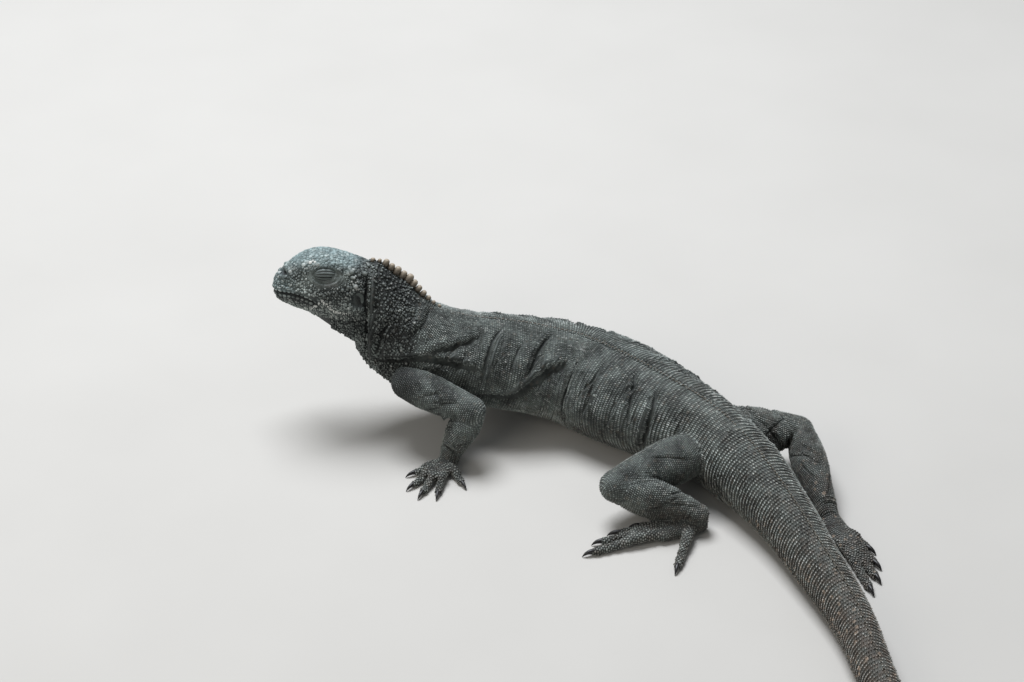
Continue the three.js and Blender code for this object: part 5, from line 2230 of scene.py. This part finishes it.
@dataclass
class Crest:
    """The blunt lobes of the nape and the low teeth along back and tail."""

    skin: Skin
    spine: Spine
    guide: Guide
    lobe: ScaleForm = ScaleForm(3.1, 3.2, 4.2, 3.4, 3, 0.04, 0.42, 0.42, 0.95, 12, 7, sunk=0.25, vary=0.16)
    back_tooth: ScaleForm = ScaleForm(2.2, 1.0, 0.95, 2.05, 3, 0.45, 0.25, 0.2, 0.4, 6, 2, sunk=0.35, tilt=8)
    tail_tooth: ScaleForm = ScaleForm(2.4, 1.0, 1.4, 2.1, 3, 0.55, 0.18, 0.2, 0.3, 6, 2, sunk=0.3, tilt=8)

    def row(self, first: float, last: float, form: ScaleForm, heights: Profile, seed: int) -> Layout:
        """One row of forms along the middle of the back.

        Args:
            first, last: The stations that it starts and ends at.
            form: The form that is repeated.
            heights: Share of the full size along the row.
            seed: The seed for their small differences.

        Returns:
            Their layout on the skin.
        """
        rng = np.random.default_rng(SEED + seed)
        fine = np.linspace(first, last, 600)
        steps = np.linalg.norm(np.diff(self.spine.skin_point(fine, 90.0), axis=0), axis=1)
        lengths = np.concatenate([[0], np.cumsum(steps)])
        stations = np.interp(np.arange(0, lengths[-1], form.pitch), lengths, fine)
        points = self.spine.skin_point(stations, 90.0, -COAT_DEPTH)
        _, along, _, up = self.spine.frames(stations)
        hits = [self.skin.tree.ray_cast(p, u)[0] for p, u in zip((points + 15 * up).tolist(), (-up).tolist())]
        spots = np.array([tuple(hit) for hit in hits])
        share = heights.at((stations - first) / (last - first))
        vary = rng.normal(1, form.vary * 0.6, len(stations)).clip(0.75, 1.25)
        size = np.stack([share**0.6, share**0.6, share], 1) * vary[:, None]
        rows = np.interp(stations, self.guide.stations, np.arange(len(self.guide.stations)))
        root = self.skin.unwrap.at(self.guide, rows, np.full(len(rows), self.guide.rings.shape[1] / 4))
        facing = unit(up - along * math.tan(math.radians(form.tilt)))
        return Layout(spots, facing, along, size, root, self.skin.marks(spots, rng.random(len(stations))))

    def build(self, tree: ScaleTree, lobe_finish: bpy.types.Material, tooth_finish: bpy.types.Material) -> None:
        """Makes the crest's three pieces.

        Args:
            tree: The tree that sets the forms.
            lobe_finish, tooth_finish: The materials of the lobes and of the teeth.
        """
        swelling = Profile((0, 0.12, 0.3, 0.6, 0.8, 1), (0.45, 0.8, 1, 1, 0.62, 0.36))
        steady = Profile((0, 0.1, 0.9, 1), (0.5, 1, 1, 1.2))
        fading = Profile((0, 0.1, 0.5, 1), (0.7, 1, 0.9, 0.35))
        for name, first, last, form, heights, seed, finish in (
            ("nape_lobes", 2.95, 6.75, self.lobe, swelling, 2, lobe_finish),
            ("back_crest", 6.9, 14.6, self.back_tooth, steady, 3, tooth_finish),
            ("tail_crest", 14.7, 22.6, self.tail_tooth, fading, 4, tooth_finish),
        ):
            declare(tree.grow(name, self.row(first, last, form, heights, seed), form, finish))


@dataclass
class Lens:
    """A rounded, lens-shaped piece in the side of the head, such as a shut lid or an ear drum.

    Attributes:
        head: The head that it is in.
        centre: Its x, depth to the side and z in the head.
        half: Its half length, bulge and half height.
        rings, sectors: Its grid.
        depth: How far its back stands in the head.
    """

    head: Head
    centre: tuple[float, float, float]
    half: tuple[float, float, float]
    rings: int = 26
    sectors: int = 72
    depth: float = 1.2

    def front(self, u: Array, v: Array) -> Array:
        """How far the front stands out at places in its plan, each from -1 to 1."""
        return self.half[1] * np.sqrt(np.clip(1 - u**2 - v**2, 0, 1))

    def build(self, name: str, side: Side, finish: Finish) -> bpy.types.Object:
        """Makes the piece on one side of the head.

        Args:
            name: The piece's name.
            side: The side.
            finish: Its finish.

        Returns:
            The piece.
        """
        radius = np.sin(np.linspace(0, math.pi / 2, self.rings + 1))
        radius = np.concatenate([radius, radius[-2::-1]])[:, None]
        turn = np.arange(self.sectors) * 2 * math.pi / self.sectors
        u, v = radius * np.cos(turn), radius * np.sin(turn)
        back = np.arange(len(radius)) > self.rings
        dome = np.sqrt(np.clip(1 - u**2 - v**2, 0, 1))
        out = np.where(back[:, None], -self.depth * dome, self.front(u, v))
        x, y, z = self.centre
        points = np.stack([x + u * self.half[0], (y + out) * side.value, z + v * self.half[2]], -1)
        points = self.head.to_world(points)
        points, triangles = closed_mesh(points[1:-1], points[0, 0], points[-1, 0])
        mesh = make_mesh(name, points, triangles)
        shift = 2.2 * back[:, None]
        flat = np.stack([u + shift, v + shift], -1)
        flat = np.vstack([flat[1:-1].reshape(-1, 2), flat[0, 0], flat[-1, 0]])
        write_unwrap(mesh, (flat[triangles] + 1.1) / 4.5)
        write_marks(mesh, self.marks(self.head.to_head(points)))
        mesh.materials.append(finish.material())
        return add_object(name, mesh)

    def marks(self, points: Array) -> dict[str, Array]:
        """The marks at points of the piece, given in the head's own frame."""
        none = np.zeros((len(points), 3))
        return {"wash": none, "wear": none + (0, 0, 0.3), "rise": np.full(len(points), 0.4)}


@dataclass
class ShutLid(Lens):
    """A shut lid with folds that run along it and meet at its corners.

    Attributes:
        folds: How many.
        fold_height: How deep the grooves between them are.
        slit_at: Where the lids meet, as a share of the half height.
    """

    folds: int = 5
    fold_height: float = 0.36
    slit_at: float = -0.16

    def grooves(self, u: Array, v: Array) -> tuple[Array, Array]:
        """How deep in a groove places in the plan lie, from 0 to 1, and how far above the slit."""
        above_slit = v / np.sqrt(np.clip(1 - u**2, 0.05, 1)) - self.slit_at
        return 0.5 + 0.5 * np.cos(above_slit * math.pi * self.folds), above_slit

    def front(self, u: Array, v: Array) -> Array:
        """The lid's bulge with its folds and the slit between the lids."""
        dome = np.sqrt(np.clip(1 - u**2 - v**2, 0, 1))
        ribs, above_slit = self.grooves(u, v)
        return self.half[1] * dome**0.8 - (self.fold_height * ribs + 0.35 * gauss(above_slit, 0.06)) * dome**0.6

    def marks(self, points: Array) -> dict[str, Array]:
        """A little darker all over, with painted shade in the grooves between the folds and along the slit.

        Args:
            points: The piece's points in the head's own frame.

        Returns:
            Its marks.
        """
        u, _, v = ((points - self.centre) / self.half).T
        ribs, above_slit = self.grooves(u, v)
        dark = 0.15 + 0.95 * np.clip(ribs, 0, 1) ** 1.4 + 0.25 * gauss(above_slit, 0.08)
        wear = np.stack([np.full(len(u), 0.25), np.clip(dark, 0, 1), np.full(len(u), 0.35)], 1)
        return {"wash": np.full((len(u), 3), (0.12, 0, 0)), "wear": wear, "rise": np.full(len(u), 0.42)}


@dataclass
class EarDrum(Lens):
    """The drum of the ear, a smooth disc with a shallow dish in its middle."""

    dish: float = 0.45

    def front(self, u: Array, v: Array) -> Array:
        """A low rim round a shallow dish."""
        return super().front(u, v) - self.dish * gauss(np.hypot(u, v), 0.6)


@dataclass(frozen=True)
class Claws:
    """The claws of one foot, each a curved hook that is deeper than it is wide."""

    leg: Leg
    length: float = 6.5
    sides: int = 14
    steps: int = 18

    def hook(self, index: int) -> tuple[Array, Array]:
        """One claw.

        Args:
            index: The toe that it is on, from the inner one.

        Returns:
            Its points and triangles.
        """
        root, direction = self.leg.toe_line(index)
        radius = self.leg.plan.toe_radius
        tip = root + direction * self.leg.plan.toes[index][3]
        bend, end = tip + direction * self.length * 0.55, tip + direction * (self.length - 0.2)
        tip[2], bend[2], end[2] = radius * 0.64, radius * 1.3, 0.2
        shares = np.linspace(0, 1, self.steps)[:, None]
        start = tip - direction * 1.6
        line = (1 - shares) ** 2 * start + 2 * shares * (1 - shares) * bend + shares**2 * end
        half = Profile((0, 0.35, 0.7, 1), (radius * 0.6, radius * 0.5, radius * 0.3, 0.1)).at(shares)
        angles = np.arange(self.sides) * 2 * math.pi / self.sides
        deep = np.sin(angles) + 0.12 * np.cos(2 * angles)
        rings = tube(line, unit(np.gradient(line, axis=0)), 0.78 * np.cos(angles) * half, deep * half)
        rings[..., 2] = np.maximum(rings[..., 2], 0.03)
        return closed_mesh(rings, *rings[[0, -1]].mean(1))

    def build(self, finish: bpy.types.Material) -> None:
        """Makes the five claws as one piece.

        Args:
            finish: Its material.
        """
        name = f"{self.leg.name}_claws"
        mesh = make_mesh(name, *stacked([self.hook(index) for index in range(len(self.leg.plan.toes))]))
        mesh.materials.append(finish)
        declare(add_object(name, mesh))


@dataclass(frozen=True)
class Studio:
    """A pale floor, soft lamps and the camera at the photograph's angle.

    Attributes:
        target: The point that the middle of the picture shows, in millimetres.
        distance: From the camera to the target.
        elevation: Degrees that the camera looks down.
        pixel: Millimetres that one pixel covers at the target.
        frame_width: The picture's width in pixels.
        sensor: The camera's sensor width, in millimetres.
        floor_reach: How far the floor goes on each side.
        room: Colour and strength of the light from all round.
    """

    target: tuple[float, float, float] = (-69, 17, 50)
    distance: float = 1300
    elevation: float = 33
    pixel: float = 0.5
    frame_width: int = 1024
    sensor: float = 36
    floor_reach: float = 4000
    room: tuple[str, float] = ("#e6ebf0", 0.28)

    def camera(self) -> None:
        """Sets up the camera, level and aimed along +Y and down."""
        turn = math.radians(self.elevation)
        data = bpy.data.cameras.new("camera")
        data.sensor_width = self.sensor
        data.lens = self.sensor * self.distance / (self.pixel * self.frame_width)
        data.clip_start, data.clip_end = 0.05, 50
        made = add_object("camera", data)
        back = Vector((0, -math.cos(turn), math.sin(turn))) * self.distance
        made.location = (Vector(self.target) + back) * MM
        made.rotation_euler = (math.pi / 2 - turn, 0, 0)
        bpy.context.scene.camera = made

    def lamp(self, name: str, place: tuple[float, ...], size: float, power: float, colour: str) -> None:
        """A square soft lamp aimed at the animal.

        Args:
            name: Its name.
            place: Where it hangs, in metres.
            size: Its width, in metres.
            power: Its power, in watts.
            colour: Its colour.
        """
        data = bpy.data.lights.new(name, "AREA")
        data.size, data.energy, data.color = size, power, hex_linear(colour)[:3]
        made = add_object(name, data)
        made.location = place
        made.rotation_euler = (Vector((-0.02, -0.05, 0.03)) - Vector(place)).to_track_quat("-Z", "Y").to_euler()

    def build(self) -> None:
        """Sets up the floor, lamps, backdrop light and camera."""
        corners = np.array([[-1, -1, 0], [1, -1, 0], [1, 1, 0], [-1, 1, 0]], float) * self.floor_reach
        floor = add_object("floor", make_mesh("floor", corners, np.array([[0, 1, 2, 3]])))
        floor.data.materials.append(PlasterFinish("matt_plaster", 0.9).material())
        self.lamp("sky_lamp", (-0.35, 0.55, 1.5), 0.8, 37, "#f4f8ff")
        self.lamp("front_lamp", (-1.0, -1.1, 0.9), 0.9, 6, "#fffaf2")
        world = bpy.data.worlds.new("soft_room")
        world.use_nodes = True
        light = world.node_tree.nodes["Background"].inputs
        light[0].default_value, light[1].default_value = hex_linear(self.room[0]), self.room[1]
        bpy.context.scene.world = world
        bpy.context.scene.view_settings.view_transform = "Standard"
        self.camera()


FLESH = ("head", "lower_jaw", "neck", "torso_front", "torso_rear", *(f"tail_{i}" for i in range(1, 6)))


def main() -> None:
    """Builds the animal and the studio."""
    logging.basicConfig(level=logging.INFO, format="%(message)s")
    spine, head = Spine(), Head()
    guides = [spine.guide(), head.guide(), *(guide for leg in LEGS for guide in leg.guides())]
    by_name = {guide.name: guide for guide in guides}
    markings = HideColours().group()
    # Dried keratin is a dull shell with a low, broad sheen, duller still on the worn tail. Lobes and teeth
    # are streaked and a little glossier, and claws are smooth dark horn with a soft gloss
    finishes = {
        HEAD_SLOT: HideFinish("head_scale_keratin", 0.55, markings),
        BODY_SLOT: HideFinish("body_scale_keratin", 0.58, markings),
        TAIL_SLOT: HideFinish("tail_scale_keratin", 0.6, markings),
        LEG_SLOT: HideFinish("leg_scale_keratin", 0.56, markings),
        "lobe": HornFinish("nape_lobe_keratin", 0.5, "#332d26", "#a19481", 1.1),
        "crest": HornFinish("crest_keratin", 0.5, "#3a3a37", "#6f6a60", 1.2),
        "claw": HornFinish("claw_keratin", 0.42, "#171514", "#3a332d", 0.8),
    }
    finishes = {name: finish.material() for name, finish in finishes.items()}
    skin = Skin(guides, Relief(spine, head), Markings(head))
    hide = skin.build()
    # Bare hide between the scales is matt, with a deep grain that breaks up any highlight
    hide.data.materials.append(HideFinish("bare_hide", 0.62, markings, grain_depth=0.3).material())
    declare(hide, *FLESH, *(f"{leg.name}_{solid}" for leg in LEGS for solid in leg.plan.solids))

    tree = ScaleTree()
    Hide(skin, head, by_name, tree, finishes).build()
    Crest(skin, spine, by_name["spine"]).build(tree, finishes["lobe"], finishes["crest"])
    lid = ShutLid(head, (head.eye[0], head.eye_depth, head.eye[1]), head.lid)
    drum = EarDrum(head, (head.ear[0], head.ear_depth, head.ear[1]), head.drum)
    for side in Side:
        word = side.name.lower()
        # Lids and drums are thin soft skin, so they shine more and have hardly any grain
        lid_skin = HideFinish(f"lid_skin_{word}", 0.5, markings, grain_mm=0.5, grain_depth=0.06)
        drum_skin = HideFinish(f"drum_skin_{word}", 0.45, markings, grain_mm=0.4, grain_depth=0.03)
        declare(lid.build(f"lid_{word}", side, lid_skin), f"eyelid_{word}")
        declare(drum.build(f"drum_{word}", side, drum_skin), f"eardrum_{word}")
    for leg in LEGS:
        Claws(leg).build(finishes["claw"])

    Studio().build()


if __name__ == "__main__":
    main()
